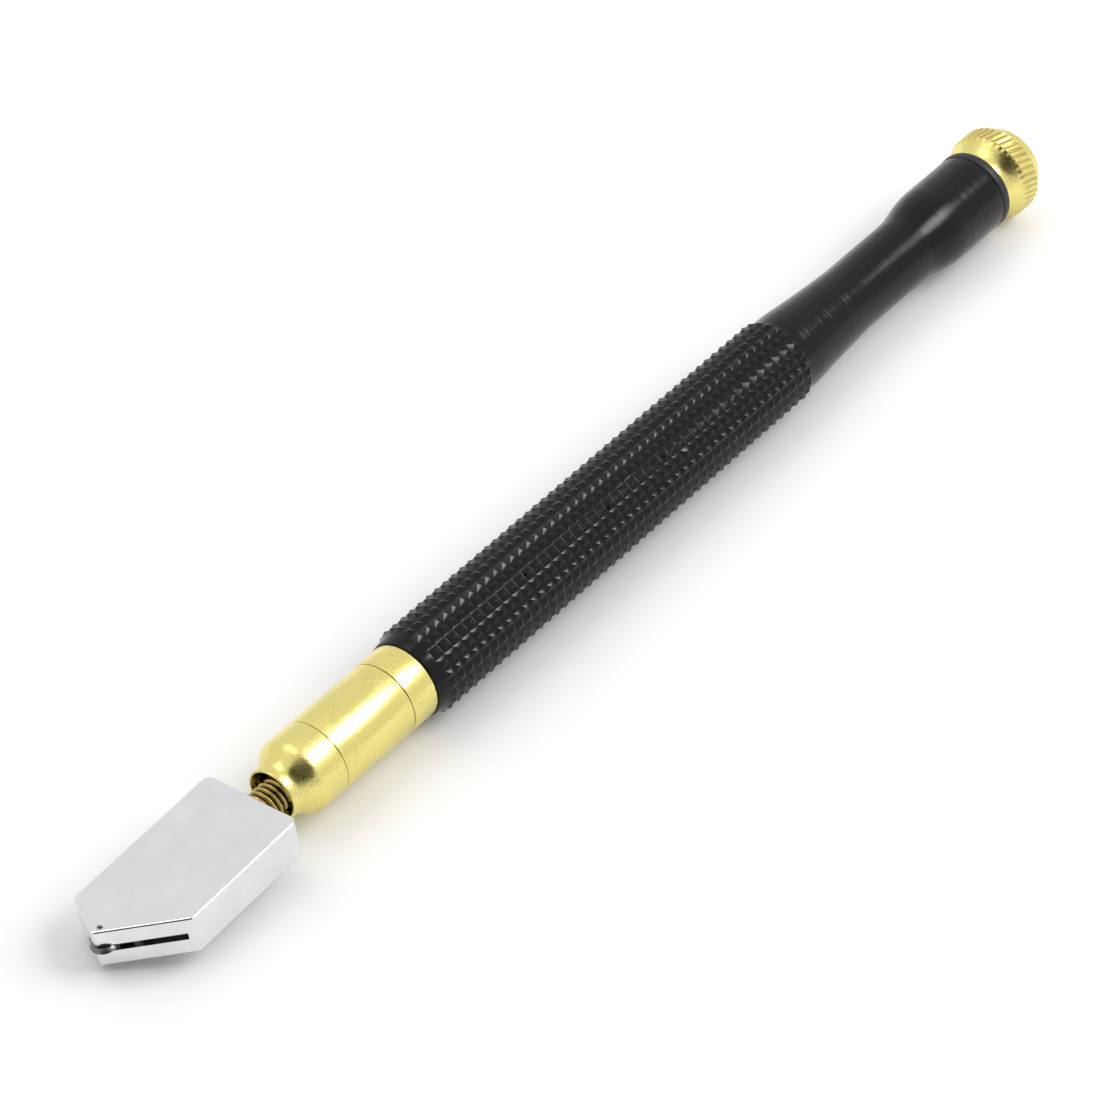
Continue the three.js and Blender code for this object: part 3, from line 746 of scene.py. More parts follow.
@dataclass
class CuttingHead:
    """The flat head with its off-centre nose, and the wheel on its axle."""

    place: Matrix
    length: float = 26.6
    width: float = 14.4
    thickness: float = 5.5
    nose_shift: float = 1.4
    long_slant: float = 8.1
    short_slant: float = 3.1
    edge_round: float = 0.28
    corner_rounds: tuple[float, ...] = (0.4, 0.3, 1.3, 1.3, 0.8)
    slot_height: float = 1.0
    slot_depth: float = 2.6
    slot_margin: float = 0.95
    wheel_setback: float = 1.3
    wheel_shift: float = 1.2
    wheel_radius: float = 1.7
    wheel_thickness: float = 0.8
    axle_radius: float = 0.35
    axle_recess: float = 0.3
    socket_radius: float = 1.6
    socket_depth: float = 8.0
    passage_radius: float = 0.6
    passage_front: float = 5.0

    def corners(self) -> list[Vector]:
        """The five corners of the head in plan, from the nose round the -Y side."""
        side = self.width / 2
        return [Vector((-self.length, self.nose_shift)), Vector((self.long_slant - self.length, -side)),
                Vector((0, -side)), Vector((0, side)), Vector((self.short_slant - self.length, side))]

    def plan(self, inset: float, steps: int = 8) -> list[Vector]:
        """The plan outline moved inwards, with its corners rounded.

        Args:
            inset: how far inwards.
            steps: sides of each rounded corner.

        Returns:
            The points of the outline, the same number for every inset.
        """
        corners = self.corners()
        count = len(corners)
        moved = []
        for i, corner in enumerate(corners):
            before = (corner - corners[i - 1]).normalized()
            after = (corners[(i + 1) % count] - corner).normalized()
            normals = Vector((-before.y, before.x)), Vector((-after.y, after.x))
            bisector = (normals[0] + normals[1]).normalized()
            moved.append(corner + bisector * inset / bisector.dot(normals[0]))
        points = []
        for i, corner in enumerate(moved):
            reach = max(self.corner_rounds[i] - inset * 0.5, 0.05)
            entry = corner + (moved[i - 1] - corner).normalized() * reach
            leave = corner + (moved[(i + 1) % count] - corner).normalized() * reach
            points += bend(entry, corner, leave, steps)
        return points

    def block(self) -> Solid:
        """The solid block: the plan outline with rounded upper and lower edges.

        Returns:
            The block, in millimetres.
        """
        made = bmesh.new()
        half, edge, steps = self.thickness / 2, self.edge_round, 5
        levels = [(half, edge * 1.4)]
        for k in range(steps + 1):
            angle = math.pi / 2 * k / steps
            levels.append((half - edge + edge * math.cos(angle), edge - edge * math.sin(angle)))
        levels += [(-height, inset) for height, inset in reversed(levels)]
        rings = [[made.verts.new((p.x, p.y, height)) for p in self.plan(inset)] for height, inset in levels]
        count = len(rings[0])
        for ring, following in zip(rings, rings[1:]):
            for k in range(count):
                n = (k + 1) % count
                made.faces.new((ring[k], ring[n], following[n], following[k]))
        made.faces.new(rings[0])
        made.faces.new(rings[-1])
        bmesh.ops.recalc_face_normals(made, faces=made.faces)
        return made

    def slot(self) -> Solid:
        """The space of the wheel slot: along the long slant, round at its outer end.

        Returns:
            A closed solid.
        """
        nose, outer = self.corners()[:2]
        along = (outer - nose).normalized()
        inwards = Vector((-along.y, along.x))
        reach = (outer - nose).length - self.slot_margin
        end_round = self.slot_depth * 0.6
        outline = [nose - along * 3 - inwards * 2, nose + along * reach - inwards * 2]
        centre = nose + along * (reach - end_round) + inwards * (self.slot_depth - end_round)
        for k in range(9):
            angle = math.pi / 2 * k / 8
            outline.append(centre + (along * math.cos(angle) + inwards * math.sin(angle)) * end_round)
        outline.append(nose - along * 3 + inwards * self.slot_depth)
        made = bmesh.new()
        low = made.faces.new([made.verts.new((p.x, p.y, -self.slot_height / 2)) for p in outline])
        raised = bmesh.ops.extrude_face_region(made, geom=[low])["geom"]
        bmesh.ops.translate(made, vec=(0, 0, self.slot_height),
                            verts=[v for v in raised if isinstance(v, bmesh.types.BMVert)])
        bmesh.ops.recalc_face_normals(made, faces=made.faces)
        return made

    def axle_place(self) -> Matrix:
        """Placement of the wheel and its axle: their X axis stands upright at the nose."""
        point = Vector((self.wheel_setback - self.length, self.wheel_shift, 0))
        return Matrix.Translation(point) @ Matrix.Rotation(-math.pi / 2, 4, "Y")

    def cutters(self) -> Iterable[Solid]:
        """Everything that is cut out of the block.

        Returns:
            Closed solids, one by one.
        """
        yield self.slot()
        reach, wall = self.thickness * 2, self.axle_radius + 0.04
        hole = revolve([(-reach, 0), (-reach, wall), (reach, wall), (reach, 0)], Quality.PIN, closed=False)
        hole.transform(self.axle_place())
        yield hole
        front, step = self.passage_front - self.length, -self.socket_depth
        bores = [(front, 0), (front, self.passage_radius), (step, self.passage_radius),
                 (step, self.socket_radius), (1, self.socket_radius), (1, 0)]
        yield revolve(bores, Quality.INNER, closed=False)

    def build_casting(self) -> None:
        """Cut the slot, the axle hole and the stem's socket out of the block."""
        piece = to_object("head_casting", self.block(), CHROME)
        cut_out(piece, self.cutters(), CHROME)
        soften(piece, 0.05, 50)
        move(piece, self.place)
        smooth(piece.data, 35)
        level = piece.modifiers.new("level", "WEIGHTED_NORMAL")
        level.keep_sharp, level.weight = True, 100
        bake(piece)
        hand_over(piece, CHROME, "head_body")

    def build_wheel(self) -> None:
        """The wheel, ground to a V edge, and the pin that it turns on."""
        half, bore = self.wheel_thickness / 2, self.axle_radius + 0.08
        shoulder = self.wheel_radius - half * 1.1
        wheel = [(-half, bore), (-half, shoulder), (0, self.wheel_radius), (half, shoulder), (half, bore)]
        upright = self.place @ self.axle_place()
        turn("scoring_wheel", "cutting_wheel", fillet(wheel, 0.03, 2), CARBIDE, upright, Quality.ROUND)
        end = self.thickness / 2 - self.axle_recess
        pin = [(-end, 0), (-end, self.axle_radius), (end, self.axle_radius), (end, 0)]
        pin = fillet(pin, 0.06, 3, closed=False)
        turn("axle_pin", "wheel_axle", pin, STEEL, upright, Quality.PIN, closed=False)

    def build(self) -> None:
        """Build the head's pieces."""
        self.build_casting()
        self.build_wheel()


@dataclass
class Stem:
    """The hollow screw that carries the head."""

    place: Matrix
    radius: float = 2.25
    pitch: float = 0.8
    depth: float = 0.34
    thread_end: float = 11.0
    spigot_radius: float = 1.5
    spigot_front: float = -7.9
    tail_radius: float = 1.9
    tail_end: float = 15.5
    groove_station: float = 14.4
    groove_half: float = 0.45
    groove_depth: float = 0.5
    bore: float = 0.75

    def outline(self) -> list[Point]:
        """Outline of the screw before its thread is cut, with close rings along the thread.

        Returns:
            Points (station, radius), closed on themselves.
        """
        start = 0.1
        rings = int((self.thread_end - start) / self.pitch * 14)
        thread = [(start + (self.thread_end - start) * k / rings, self.radius) for k in range(rings + 1)]
        low, floor = self.groove_station - self.groove_half, self.tail_radius - self.groove_depth
        high = self.groove_station + self.groove_half
        return [
            (self.spigot_front, self.bore), (self.spigot_front, self.spigot_radius),
            (start, self.spigot_radius), *thread, (self.thread_end, self.tail_radius),
            (low, self.tail_radius), (low, floor), (high, floor),
            (high, self.tail_radius), (self.tail_end, self.tail_radius), (self.tail_end, self.bore)]

    def build(self) -> None:
        """Turn the screw and cut its thread."""
        piece = to_object("stem_screw", revolve(self.outline(), Quality.INNER), THREAD_BRASS)
        run_tree(piece, ridge_tree(THREAD_BRASS), {
            "Starts": 1.0, "Lead": self.pitch, "Depth": self.depth, "From": 0.1, "To": self.thread_end + 0.6,
            "Fade": 0.3, "Least Radius": self.radius - 0.05, "Crest": 0.12, "Root": 0.9})
        move(piece, self.place)
        smooth(piece.data, 40)
        hand_over(piece, THREAD_BRASS, "threaded_stem")


@dataclass
class Ferrule:
    """The three brass pieces between the stem and the handle."""

    place: Matrix
    mouth: float = 2.7
    mouth_radius: float = 2.9
    mouth_flare: float = 3.2
    lip_radius: float = 3.6
    shoulder: float = 7.0
    front_joint: float = 10.7
    rear_joint: float = 23.0
    end: float = 27.1
    radius: float = 5.15
    bore: float = 4.2
    spigot_radius: float = 4.6
    spigot_length: float = 1.6
    gasket: float = 0.5
    seat_radius: float = 4.2
    seat_mouth: float = 3.85
    float_station: float = 10.0
    gap: float = 0.06
    edge: float = 0.09
    plug_radius: float = 4.1
    plug_end: float = 35.0
    chamber: float = 3.4
    chamber_front: float = 21.6
    chamber_end: float = 27.0
    valve_hole: float = 1.3

    def bell(self) -> list[Point]:
        """The nose cap's outside: a rolled lip, a slight neck and a round shoulder.

        Returns:
            Points (station, radius) from the mouth to the shoulder.
        """
        roll = (self.lip_radius - self.mouth_flare) / 2
        centre, lip = (self.mouth + roll, self.lip_radius - roll), []
        for k in range(-2, 7):
            angle = math.radians(180 - 22 * k)
            lip.append((centre[0] + roll * math.cos(angle), centre[1] + roll * math.sin(angle)))
        neck = (self.mouth + 0.85, self.lip_radius - 0.02)
        made = [point for point in lip if point[0] < neck[0] - 0.05] + [neck]
        return made + sweep(neck, (self.shoulder, self.radius), 20, lambda t: t * t * (3 - 2 * t))

    def seat(self) -> list[Point]:
        """The spherical seat inside the nose cap, from the rear to the mouth bore."""
        radii = [self.seat_mouth + (self.mouth_radius - self.seat_mouth) * k / 8 for k in range(9)]
        return [(self.float_station - math.sqrt(self.seat_radius ** 2 - r ** 2), r) for r in radii]

    def build(self) -> None:
        """Turn the nose cap, the sleeve and the collar."""
        end = self.front_joint - self.gap
        floor = self.front_joint - self.spigot_length - self.gasket - self.gap * 2
        wall = self.spigot_radius + 0.1
        edge = fillet([(end - 1, self.radius), (end, self.radius), (end, wall)], self.edge, 3, closed=False)
        turn("nose_bell", "nose_cap", [
            *self.bell(), *edge, (floor, wall), (floor, self.seat_mouth), *self.seat(),
            (self.mouth + 1.6, self.mouth_radius), (self.mouth + 0.6, self.mouth_flare - 0.08)],
            BRASS, self.place)
        front, rear = self.front_joint - self.spigot_length, self.rear_joint - self.gap
        turn("middle_sleeve", "ferrule_sleeve", fillet([
            (front, self.bore), (front, self.spigot_radius), (self.front_joint, self.spigot_radius),
            (self.front_joint, self.radius), (rear, self.radius), (rear, self.bore)], self.edge, 3),
            BRASS, self.place)
        outer = self.radius + 0.05
        turn("shoulder_plug", "rear_collar", fillet([
            (self.chamber_front, self.chamber), (self.chamber_front, self.plug_radius),
            (self.rear_joint, self.plug_radius), (self.rear_joint, outer), (self.end, outer),
            (self.end, self.plug_radius), (self.plug_end, self.plug_radius), (self.plug_end, self.valve_hole),
            (self.chamber_end, self.valve_hole), (self.chamber_end, self.chamber)], self.edge, 3),
            BRASS, self.place)


@dataclass
class Handle:
    """The black tube: a front ring, the knurled grip, a turned taper, a waist and a flared tail."""

    place: Matrix
    front: float = 27.16
    grip_start: float = 28.7
    grip_end: float = 102.3
    grip_radius: float = 6.1
    ring_radius: float = 5.65
    ring_slope: float = 0.28
    turned_radius: float = 5.6
    taper_start: float = 104.8
    waist_start: float = 117.7
    waist_end: float = 130.8
    waist_radius: float = 4.68
    flare_end: float = 137.6
    end: float = 146.0
    end_radius: float = 5.68
    counterbore_end: float = 36.0
    counterbore: float = 4.2
    reservoir: float = 3.5
    teeth_around: int = 24
    teeth_along: int = 46
    tooth_height: float = 0.45
    ridge_length: float = 0.16
    ridge_share: float = 0.06
    groove_share: float = 0.1
    ring_groove: float = 0.1
    foot_shares: tuple[float, ...] = (-0.6, -0.2, 0.2, 0.6, 1.0)
    knurl_turn: float = 1.9

    def pitch(self) -> float:
        """Length of one tooth along the grip."""
        return (self.grip_end - self.grip_start) / self.teeth_along

    def tooth_point(self, x: float, share: float, depth: float) -> tuple[float, float, float]:
        """A point of the tooth that stands at the top of the grip.

        Args:
            x: station, or distance from the middle of the tooth.
            share: place round the grip, from -1 to 1 across the tooth.
            depth: depth under the grip's outside.

        Returns:
            The point.
        """
        angle = share * math.pi / self.teeth_around
        radius = self.grip_radius - depth
        return x, -radius * math.sin(angle), radius * math.cos(angle)

    def tooth(self) -> Solid:
        """One tooth: a pyramid with a short ridge for its tip, and its share of the flat groove floors.

        Returns:
            The tooth, open below, at the top of the grip.
        """
        made = bmesh.new()
        half_pitch, half_ridge = self.pitch() / 2, self.ridge_length / 2
        top = {(u, v): made.verts.new(self.tooth_point(u * half_ridge, v * self.ridge_share, 0))
               for u in (-1, 1) for v in (-1, 1)}
        near = half_pitch - self.ring_groove / 2
        shares = {half_pitch: (-1.0, *self.foot_shares),
                  near: (self.groove_share - 1, *self.foot_shares[:-1], 1 - self.groove_share)}
        low = self.tooth_height
        feet = {(u, reach): [made.verts.new(self.tooth_point(u * reach, v, low)) for v in places]
                for u in (-1, 1) for reach, places in shares.items()}
        made.faces.new((top[-1, -1], top[1, -1], top[1, 1], top[-1, 1]))
        for u in (-1, 1):
            foot, edge = feet[u, near], feet[u, half_pitch]
            made.faces.new((top[u, 1], top[u, -1], *foot))
            for k in range(len(foot) - 1):
                made.faces.new((foot[k], foot[k + 1], edge[k + 1], edge[k]))
        for v, k in ((1, -1), (-1, 0)):
            left, right = feet[-1, near][k], feet[1, near][k]
            made.faces.new((top[-1, v], top[1, v], right, left))
            made.faces.new((left, right, feet[1, half_pitch][k], feet[-1, half_pitch][k]))
        for face in made.faces:
            face.normal_update()
            if face.normal.z < 0:
                face.normal_flip()
        return made

    def tail_outline(self) -> list[Point]:
        """Outside of the tube behind the grip, and back through its bore to the front edge.

        Returns:
            Points (station, radius).
        """
        made = [(self.grip_end + 0.35, self.turned_radius), (self.taper_start, self.turned_radius)]
        narrow, waist = (self.waist_start, self.waist_radius), (self.waist_end, self.waist_radius)
        made += sweep(made[-1], narrow, 12, lambda t: t * (2 - t) * 0.25 + t * 0.75)
        made += [waist, *sweep(waist, (self.flare_end, self.end_radius), 16,
                               lambda t: math.sin(t * math.pi / 2) ** 1.4)]
        rim = [(self.end - 1, self.end_radius), (self.end, self.end_radius), (self.end, self.reservoir),
               (self.end - 1, self.reservoir)]
        made += fillet(rim, 0.22, 4, closed=False)
        return made + [(self.counterbore_end, self.reservoir), (self.counterbore_end, self.counterbore)]

    def front_outline(self) -> list[Point]:
        """The smooth ring in front of the grip, from the bore outwards.

        Returns:
            Points (station, radius).
        """
        ring = [(self.front + 0.5, self.counterbore), (self.front, self.counterbore),
                (self.front, self.ring_radius - self.ring_slope), (self.grip_start, self.ring_radius)]
        return fillet(ring, 0.15, 4, closed=False)

    def toothed_ring(self, made: Solid, x: float) -> list[bmesh.types.BMVert]:
        """The ring of points where the knurl meets the plain tube.

        Args:
            made: the mesh that they go into.
            x: their station.

        Returns:
            The points in order round the axis.
        """
        ring = []
        for k in range(self.teeth_around):
            turn = Matrix.Rotation(2 * math.pi * k / self.teeth_around, 3, "X")
            ring += [made.verts.new(turn @ Vector(self.tooth_point(x, share, self.tooth_height)))
                     for share in self.foot_shares]
        return ring

    def shell(self) -> Solid:
        """The plain tube with the grip's outside left open for the teeth.

        Returns:
            The open mesh, in millimetres.
        """
        made = bmesh.new()
        angles = [math.atan2(-v.co.y, v.co.z) for v in self.toothed_ring(made, 0)]
        made.clear()
        plain = []
        for x, radius in [*self.front_outline(), *self.tail_outline()]:
            plain.append([made.verts.new((x, -radius * math.sin(a), radius * math.cos(a))) for a in angles])
        split = len(self.front_outline())
        front, back = self.toothed_ring(made, self.grip_start), self.toothed_ring(made, self.grip_end)
        runs = [[*plain[:split], front], [back, *plain[split:], plain[0]]]
        for rings in runs:
            for ring, following in zip(rings, rings[1:]):
                for k in range(len(ring)):
                    n = (k + 1) % len(ring)
                    made.faces.new((ring[k], following[k], following[n], ring[n]))
        return made

    def build(self) -> None:
        """Weld the teeth to the tube and soften their edges."""
        piece = to_object("knurled_tube", self.shell(), BLACK)
        tooth = to_object("one_tooth", self.tooth(), BLACK)
        run_tree(piece, knurl_tree(BLACK), {
            "Tooth": tooth, "Around": self.teeth_around, "Along": self.teeth_along,
            "First": self.grip_start + self.pitch() / 2, "Pitch": self.pitch(), "Weld": 0.004,
            "Wander": 0.07, "Wander Size": 1.3, "Seed": 4.0})
        bpy.data.objects.remove(tooth)
        soften(piece, 0.05, 35)
        move(piece, self.place @ Matrix.Rotation(math.radians(self.knurl_turn), 4, "X"))
        smooth(piece.data, 40)
        hand_over(piece, BLACK, "handle_tube")


@dataclass
class FillerEnd:
    """The rubber washer and the serrated cap with its threaded stud."""

    place: Matrix
    tube_end: float = 146.0
    washer: float = 1.4
    washer_radius: float = 5.75
    gap: float = 0.05
    neck_radius: float = 4.7
    rim_radius: float = 6.4
    flare: float = 3.0
    rim: float = 2.6
    bevel: float = 2.1
    end_radius: float = 5.0
    crown_radius: float = 3.2
    crown: float = 0.7
    stud_radius: float = 3.4
    stud: float = 7.5
    stud_pitch: float = 1.0
    stud_depth: float = 0.4
    hole_radius: float = 1.2
    hole_depth: float = 6.0
    serrations: int = 42
    serration_depth: float = 0.2
    serration_lead: float = 3.5

    def front(self) -> float:
        """Station of the cap's front face."""
        return self.tube_end + self.washer + self.gap * 2

    def build_washer(self) -> None:
        """The washer, bulged a little by the cap's pressure."""
        low = self.tube_end + self.gap
        high, bore = low + self.washer, self.stud_radius + 0.1
        edge, middle = self.washer_radius - 0.06, (low + high) / 2
        outline = fillet([(low, bore), (low, edge), (middle, self.washer_radius), (high, edge), (high, bore)],
                         0.3, 4)
        turn("rubber_washer", "filler_washer", outline, RUBBER, self.place)

    def cap_outline(self) -> list[Point]:
        """Outline of the cap from the stud's hole to the crown, with close rings where ridges are cut.

        Returns:
            Points (station, radius), starting and ending on the axis.
        """
        stud_front, stud_end = self.front() - self.stud, self.front() - 0.6
        core = self.stud_radius - 0.4
        thread = (stud_front + 0.3, self.stud_radius)
        rings = int((stud_end - thread[0]) / self.stud_pitch * 12)
        made = [(stud_front + self.hole_depth, 0), (stud_front + self.hole_depth, self.hole_radius),
                (stud_front, self.hole_radius), (stud_front, core), thread,
                *sweep(thread, (stud_end, self.stud_radius), rings, float), (stud_end, core),
                (self.front(), core), (self.front(), self.neck_radius - 0.1),
                (self.front() + 0.05, self.neck_radius)]
        curl = math.pi / 2 * 0.86
        rim = (self.front() + self.flare, self.rim_radius)
        made += sweep(made[-1], rim, 12, lambda t: (1 - math.cos(t * curl)) / (1 - math.cos(curl)))
        bevel = (rim[0] + self.rim, self.rim_radius)
        made += sweep(rim, bevel, 12, float)
        end = (bevel[0] + self.bevel, self.end_radius)
        made += sweep(bevel, end, 8, lambda t: math.sin(t * math.pi / 2),
                      lambda t: (1 - math.cos(t * math.pi / 2)) ** 0.8)
        crown = (end[0] + self.crown, self.crown_radius)
        return [*made, *sweep(end, crown, 6, float, lambda t: math.sin(t * math.pi / 2)), (crown[0], 0)]

    def build_cap(self) -> None:
        """Turn the cap, cut the stud's thread and press the slanted serrations into the rim."""
        front = self.front()
        piece = to_object("serrated_cap", revolve(self.cap_outline(), Quality.RIDGED, closed=False), BRASS)
        tree = ridge_tree(BRASS)
        run_tree(piece, tree, {
            "Starts": 1.0, "Lead": self.stud_pitch, "Depth": self.stud_depth,
            "From": front - self.stud, "To": front - 0.3, "Fade": 0.4,
            "Least Radius": self.stud_radius - 0.05, "Crest": 0.1, "Root": 0.9})
        run_tree(piece, tree, {
            "Starts": float(self.serrations), "Lead": self.serration_lead, "Depth": self.serration_depth,
            "From": front + self.flare * 0.86, "To": front + self.flare + self.rim + self.bevel * 0.55,
            "Fade": 0.6, "Least Radius": self.end_radius + 0.3, "Crest": 0.1, "Root": 1.0})
        move(piece, self.place)
        smooth(piece.data, 38)
        hand_over(piece, BRASS, "filler_cap")

    def build(self) -> None:
        """Build the washer and the cap."""
        self.build_washer()
        self.build_cap()


@dataclass
class Innards:
    """The turned pieces inside the ferrule, made again from the frame's own outlines at full roundness."""

    axis: Matrix
    head: Matrix
    edge: float = 0.08
    on_axis: float = 0.05
    wire: float = 0.28
    spring_turns: float = 4.5
    oil_hole: float = 0.6
    oil_hole_place: float = 2.0
    oil_holes: int = 4
    stem_seal: float = 0.4
    ball_seal: float = 0.36

    def outline(self, node: str, place: Matrix) -> tuple[list[Point], bool]:
        """Read the outline of a faceted turned piece.

        Args:
            node: the CAD node.
            place: its placement, whose X axis it was turned about.

        Returns:
            The points (station, true radius) in order, and whether they close on themselves.
        """
        solid = bmesh.new()
        solid.from_mesh(frame["nodes"][node].data)
        solid.transform(place.inverted())
        bmesh.ops.remove_doubles(solid, verts=solid.verts, dist=0.002)
        polar = {v: (math.hypot(v.co.y, v.co.z), math.atan2(v.co.y, v.co.z)) for v in solid.verts}
        angles = {round(a, 3) for r, a in polar.values() if r > self.on_axis}
        facets = len({round((a % (2 * math.pi)) / (2 * math.pi) * 720) for a in angles})
        first = min(a for r, a in polar.values() if r > self.on_axis)
        chain = {v for v, (r, a) in polar.items() if r < self.on_axis or abs(a - first) < 0.01}
        links = {v: [e.other_vert(v) for e in v.link_edges if e.other_vert(v) in chain] for v in chain}
        ends = [v for v in chain if polar[v][0] < self.on_axis]
        walk = [min(ends, key=lambda v: v.co.x) if ends else min(chain, key=lambda v: (v.co.x, v.co.y))]
        while True:
            ahead = [v for v in links[walk[-1]] if v not in walk and not (v in ends and walk[-1] in ends)]
            if not ahead:
                break
            walk.append(ahead[0])
        scale = math.cos(math.pi / facets)
        points = [(v.co.x, 0.0 if v in ends else polar[v][0] * scale) for v in walk]
        solid.free()
        return points, not ends

    def again(self, name: str, node: str, place: Matrix, finish: Finish) -> None:
        """Turn one piece again, at full roundness, from its node's own outline."""
        points, closed = self.outline(node, place)
        turn(name, node, fillet(points, self.edge, 3, closed), finish, place, Quality.INNER, closed)

    def seal(self, name: str, node: str, place: Matrix, wire: float) -> None:
        """Make a round seal from the middle of its node.

        Args:
            name: the piece's name.
            node: the CAD node.
            place: its placement.
            wire: radius of the seal's round section.
        """
        points, _ = self.outline(node, place)
        middle = sum((Vector(point) for point in points), Vector((0, 0))) / len(points)
        angles = [2 * math.pi * k / 24 for k in range(24)]
        circle = [(middle.x + wire * math.cos(a), middle.y + wire * math.sin(a)) for a in angles]
        turn(name, node, circle, RUBBER, place, Quality.ROUND)

    def disc(self) -> None:
        """The thrust disc with its oil holes, cut from a round blank."""
        low, high = (self.axis.inverted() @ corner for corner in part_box("thrust_disc"))
        outer, bore = (high.z - low.z) / 2, self.oil_hole
        blank = fillet([(low.x, bore), (low.x, outer), (high.x, outer), (high.x, bore)], self.edge, 3)
        piece = to_object("spring_disc", revolve(blank, Quality.INNER), THREAD_BRASS)
        holes = []
        for k in range(self.oil_holes):
            holes.append(revolve([(low.x - 1, 0), (low.x - 1, bore), (high.x + 1, bore), (high.x + 1, 0)],
                                 Quality.PIN, closed=False))
            turned = Matrix.Rotation(2 * math.pi * k / self.oil_holes, 4, "X")
            holes[-1].transform(turned @ Matrix.Translation((0, 0, self.oil_hole_place)))
        cut_out(piece, holes, THREAD_BRASS)
        move(piece, self.axis)
        smooth(piece.data, 32)
        hand_over(piece, THREAD_BRASS, "thrust_disc")

    def spring(self) -> None:
        """The return spring, wound from round wire."""
        low, high = (self.axis.inverted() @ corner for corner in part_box("return_spring"))
        wire = self.wire
        piece = to_object("coil_spring", bmesh.new(), STEEL)
        run_tree(piece, coil_tree(STEEL), {
            "Turns": self.spring_turns, "Coil Radius": (high.y - low.y) / 2 - wire,
            "Length": high.x - low.x - 2 * wire, "Wire Radius": wire})
        along = Matrix.Translation((low.x + wire, 0, 0)) @ Matrix.Rotation(math.pi / 2, 4, "Y")
        move(piece, self.axis @ along)
        smooth(piece.data, 60)
        hand_over(piece, STEEL, "return_spring")

    def build(self) -> None:
        """Build everything that works inside the ferrule."""
        self.again("oil_wick", "head_wick", self.head, COTTON)
        self.again("ball_nut", "ball_plunger", self.head, THREAD_BRASS)
        self.again("valve_spindle", "valve_pin", self.axis, STEEL)
        self.again("valve_rubber", "valve_disc", self.axis, RUBBER)
        self.again("fibre_gasket", "nose_gasket", self.axis, FIBRE)
        self.again("plug_gasket", "collar_gasket", self.axis, RUBBER)
        self.seal("stem_seal_ring", "stem_o_ring", self.head, self.stem_seal)
        self.seal("ball_seal_ring", "plunger_o_ring", self.head, self.ball_seal)
        self.disc()
        self.spring()


# ---- studio


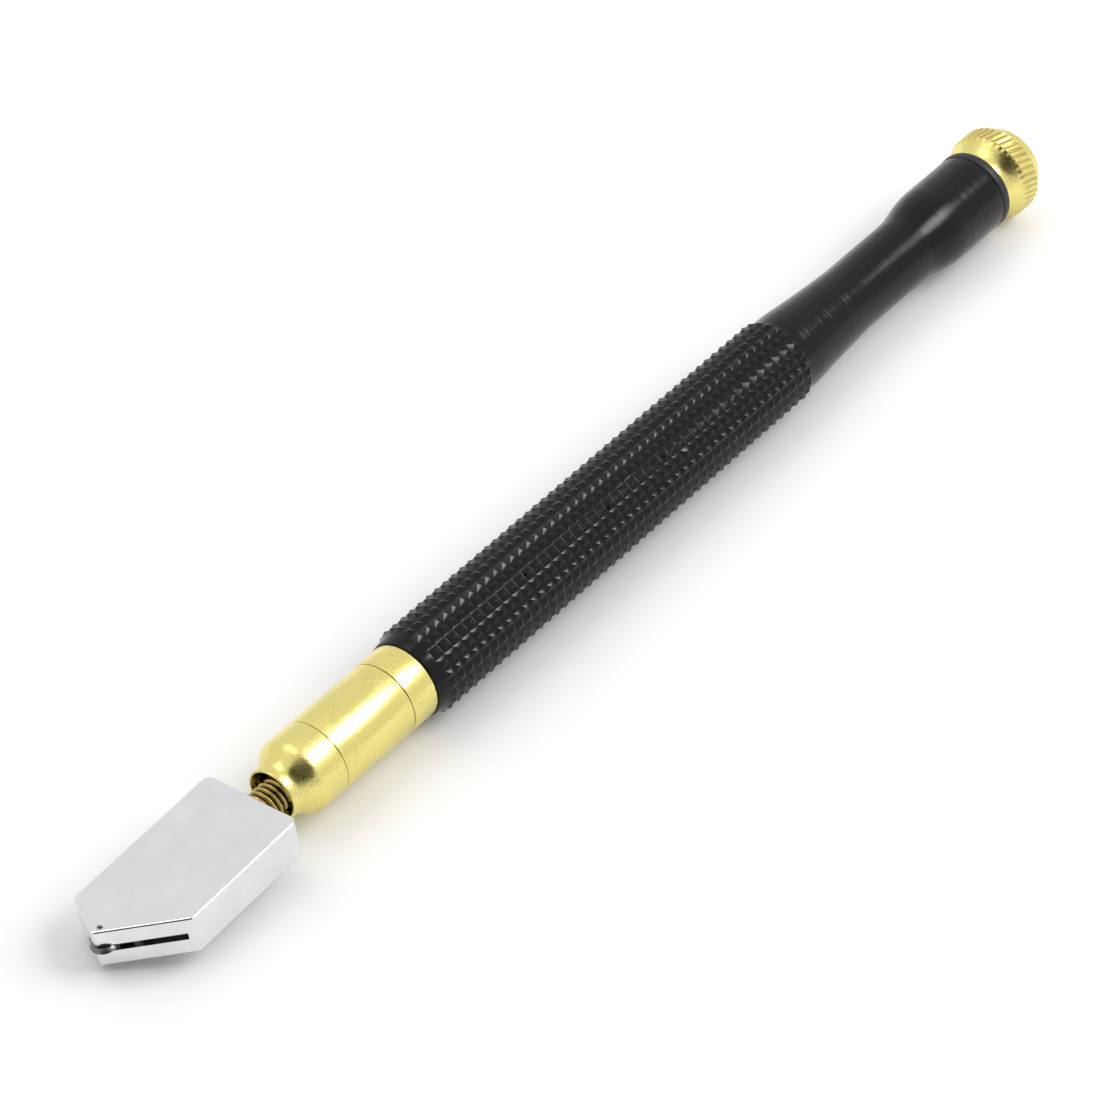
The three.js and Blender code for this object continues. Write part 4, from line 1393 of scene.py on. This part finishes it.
@dataclass
class Studio:
    """White sweep, soft light from all round, one brighter window and the dark camera facing the tool."""

    azimuth: float = -51.35
    elevation: float = 43.5
    distance: float = 0.571
    lens: float = 150.5
    aim_station: float = 55.7
    aim_right: float = -0.35
    aim_up: float = 0.42
    daylight: float = 0.9
    card_distance: float = 0.85
    card_radius: float = 0.5
    card_elevation: float = 38.0

    def back(self, azimuth: float, elevation: float) -> Vector:
        """Direction from the tool towards a viewer at the azimuth and elevation, in degrees."""
        a, e = math.radians(azimuth), math.radians(elevation)
        return Vector((math.sin(a) * math.cos(e), -math.cos(a) * math.cos(e), math.sin(e)))

    def build_camera(self, axis: Matrix) -> Vector:
        """Set up the camera.

        Args:
            axis: placement of the tool's axis.

        Returns:
            The point that it looks at.
        """
        back = self.back(self.azimuth, self.elevation)
        turn = (-back).to_track_quat("-Z", "Y")
        aim = axis @ Vector((self.aim_station, 0, 0))
        aim += turn @ Vector((self.aim_right * MM, self.aim_up * MM, 0))
        data = bpy.data.cameras.new("camera")
        data.lens, data.sensor_width = self.lens, 36.0
        data.clip_start, data.clip_end = 0.01, 20.0
        camera = bpy.data.objects.new("camera", data)
        camera.rotation_mode = "QUATERNION"
        camera.rotation_quaternion = turn
        camera.location = aim + back * self.distance
        bpy.context.scene.collection.objects.link(camera)
        bpy.context.scene.camera = camera
        return aim

    def build_floor(self) -> None:
        """A white paper sweep under the tool."""
        made = bmesh.new()
        bmesh.ops.create_grid(made, x_segments=1, y_segments=1, size=3.0)
        to_object("paper_sweep", made, PAPER)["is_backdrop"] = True

    def area(self, name: str, azimuth: float, elevation: float, away: float, size: Point, power: float,
             aim: Vector) -> Piece:
        """Add a soft rectangular light that faces the tool.

        Args:
            name: the light's name.
            azimuth: degrees from the front, positive to the right.
            elevation: degrees above the floor.
            away: metres from the tool.
            size: metres across and up.
            power: watts.
            aim: the point that it faces.

        Returns:
            The light.
        """
        data = bpy.data.lights.new(name, "AREA")
        data.shape, data.size, data.size_y, data.energy = "RECTANGLE", size[0], size[1], power
        light = bpy.data.objects.new(name, data)
        back = self.back(azimuth, elevation)
        light.location = aim + back * away
        light.rotation_mode = "QUATERNION"
        light.rotation_quaternion = (-back).to_track_quat("-Z", "Y")
        bpy.context.scene.collection.objects.link(light)
        return light

    def build_light(self, aim: Vector) -> None:
        """White surroundings, a window opposite the camera, and the camera's own dark reflection.

        Args:
            aim: the point that the lights face.
        """
        world = bpy.data.worlds.new("white_room")
        world.use_nodes = True
        tree = world.node_tree
        tree.nodes.clear()
        sky = add_node(tree, "ShaderNodeBackground", {"Color": linear("ffffff"), "Strength": self.daylight})
        add_node(tree, "ShaderNodeOutputWorld", {"Surface": sky})
        bpy.context.scene.world = world
        window = self.area("window", 41.0, 54.5, 0.8, (0.34, 0.3), 4.2, aim)
        window.visible_diffuse = False
        fill = self.area("fill", 45.0, 45.0, 0.8, (0.5, 0.5), 3.4, aim)
        fill.visible_glossy = False
        self.area("key", 195.0, 62.0, 0.9, (0.5, 0.5), 0.9, aim)
        self.build_dark_card(aim)

    def build_dark_card(self, aim: Vector) -> None:
        """The dark room behind the camera, which only shows in reflections.

        Args:
            aim: the point that the card faces.
        """
        made = bmesh.new()
        bmesh.ops.create_circle(made, cap_ends=True, segments=48, radius=self.card_radius)
        back = self.back(self.azimuth, self.card_elevation)
        facing = back.to_track_quat("Z", "Y").to_matrix().to_4x4()
        place = Matrix.Translation(aim + back * self.card_distance) @ facing
        card = to_object("dark_card", made, FLOCK, place)
        card.visible_camera = False
        card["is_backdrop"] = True

    def build(self, axis: Matrix) -> None:
        """Set up the camera, the floor and the lights round the tool's axis."""
        aim = self.build_camera(axis)
        self.build_floor()
        self.build_light(aim)
        bpy.context.scene.view_settings.view_transform = "Standard"
        bpy.context.scene.view_settings.look = "None"


def corners(box: tuple[Vector, Vector]) -> list[list[float]]:
    """A box as two plain lists."""
    return [list(box[0]), list(box[1])]


def main() -> None:
    """Build the studio and the tool, and work out (but do not keep) the frame's and the model's bounds."""
    cad_box = corners(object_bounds())
    layout = Layout()
    axis, head = layout.axis(), layout.head()
    Studio().build(axis)
    parts: list[CuttingHead | Stem | Ferrule | Handle | FillerEnd | Innards] = [
        CuttingHead(head), Stem(head), Ferrule(axis), Handle(axis), FillerEnd(axis), Innards(axis, head)]
    for part in parts:
        part.build()
        log.info("%s is built", type(part).__name__)
    {"cad": cad_box, "visual": corners(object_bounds())}


if __name__ == "__main__":
    logging.basicConfig(level=logging.INFO, format="%(name)s: %(message)s")
    main()
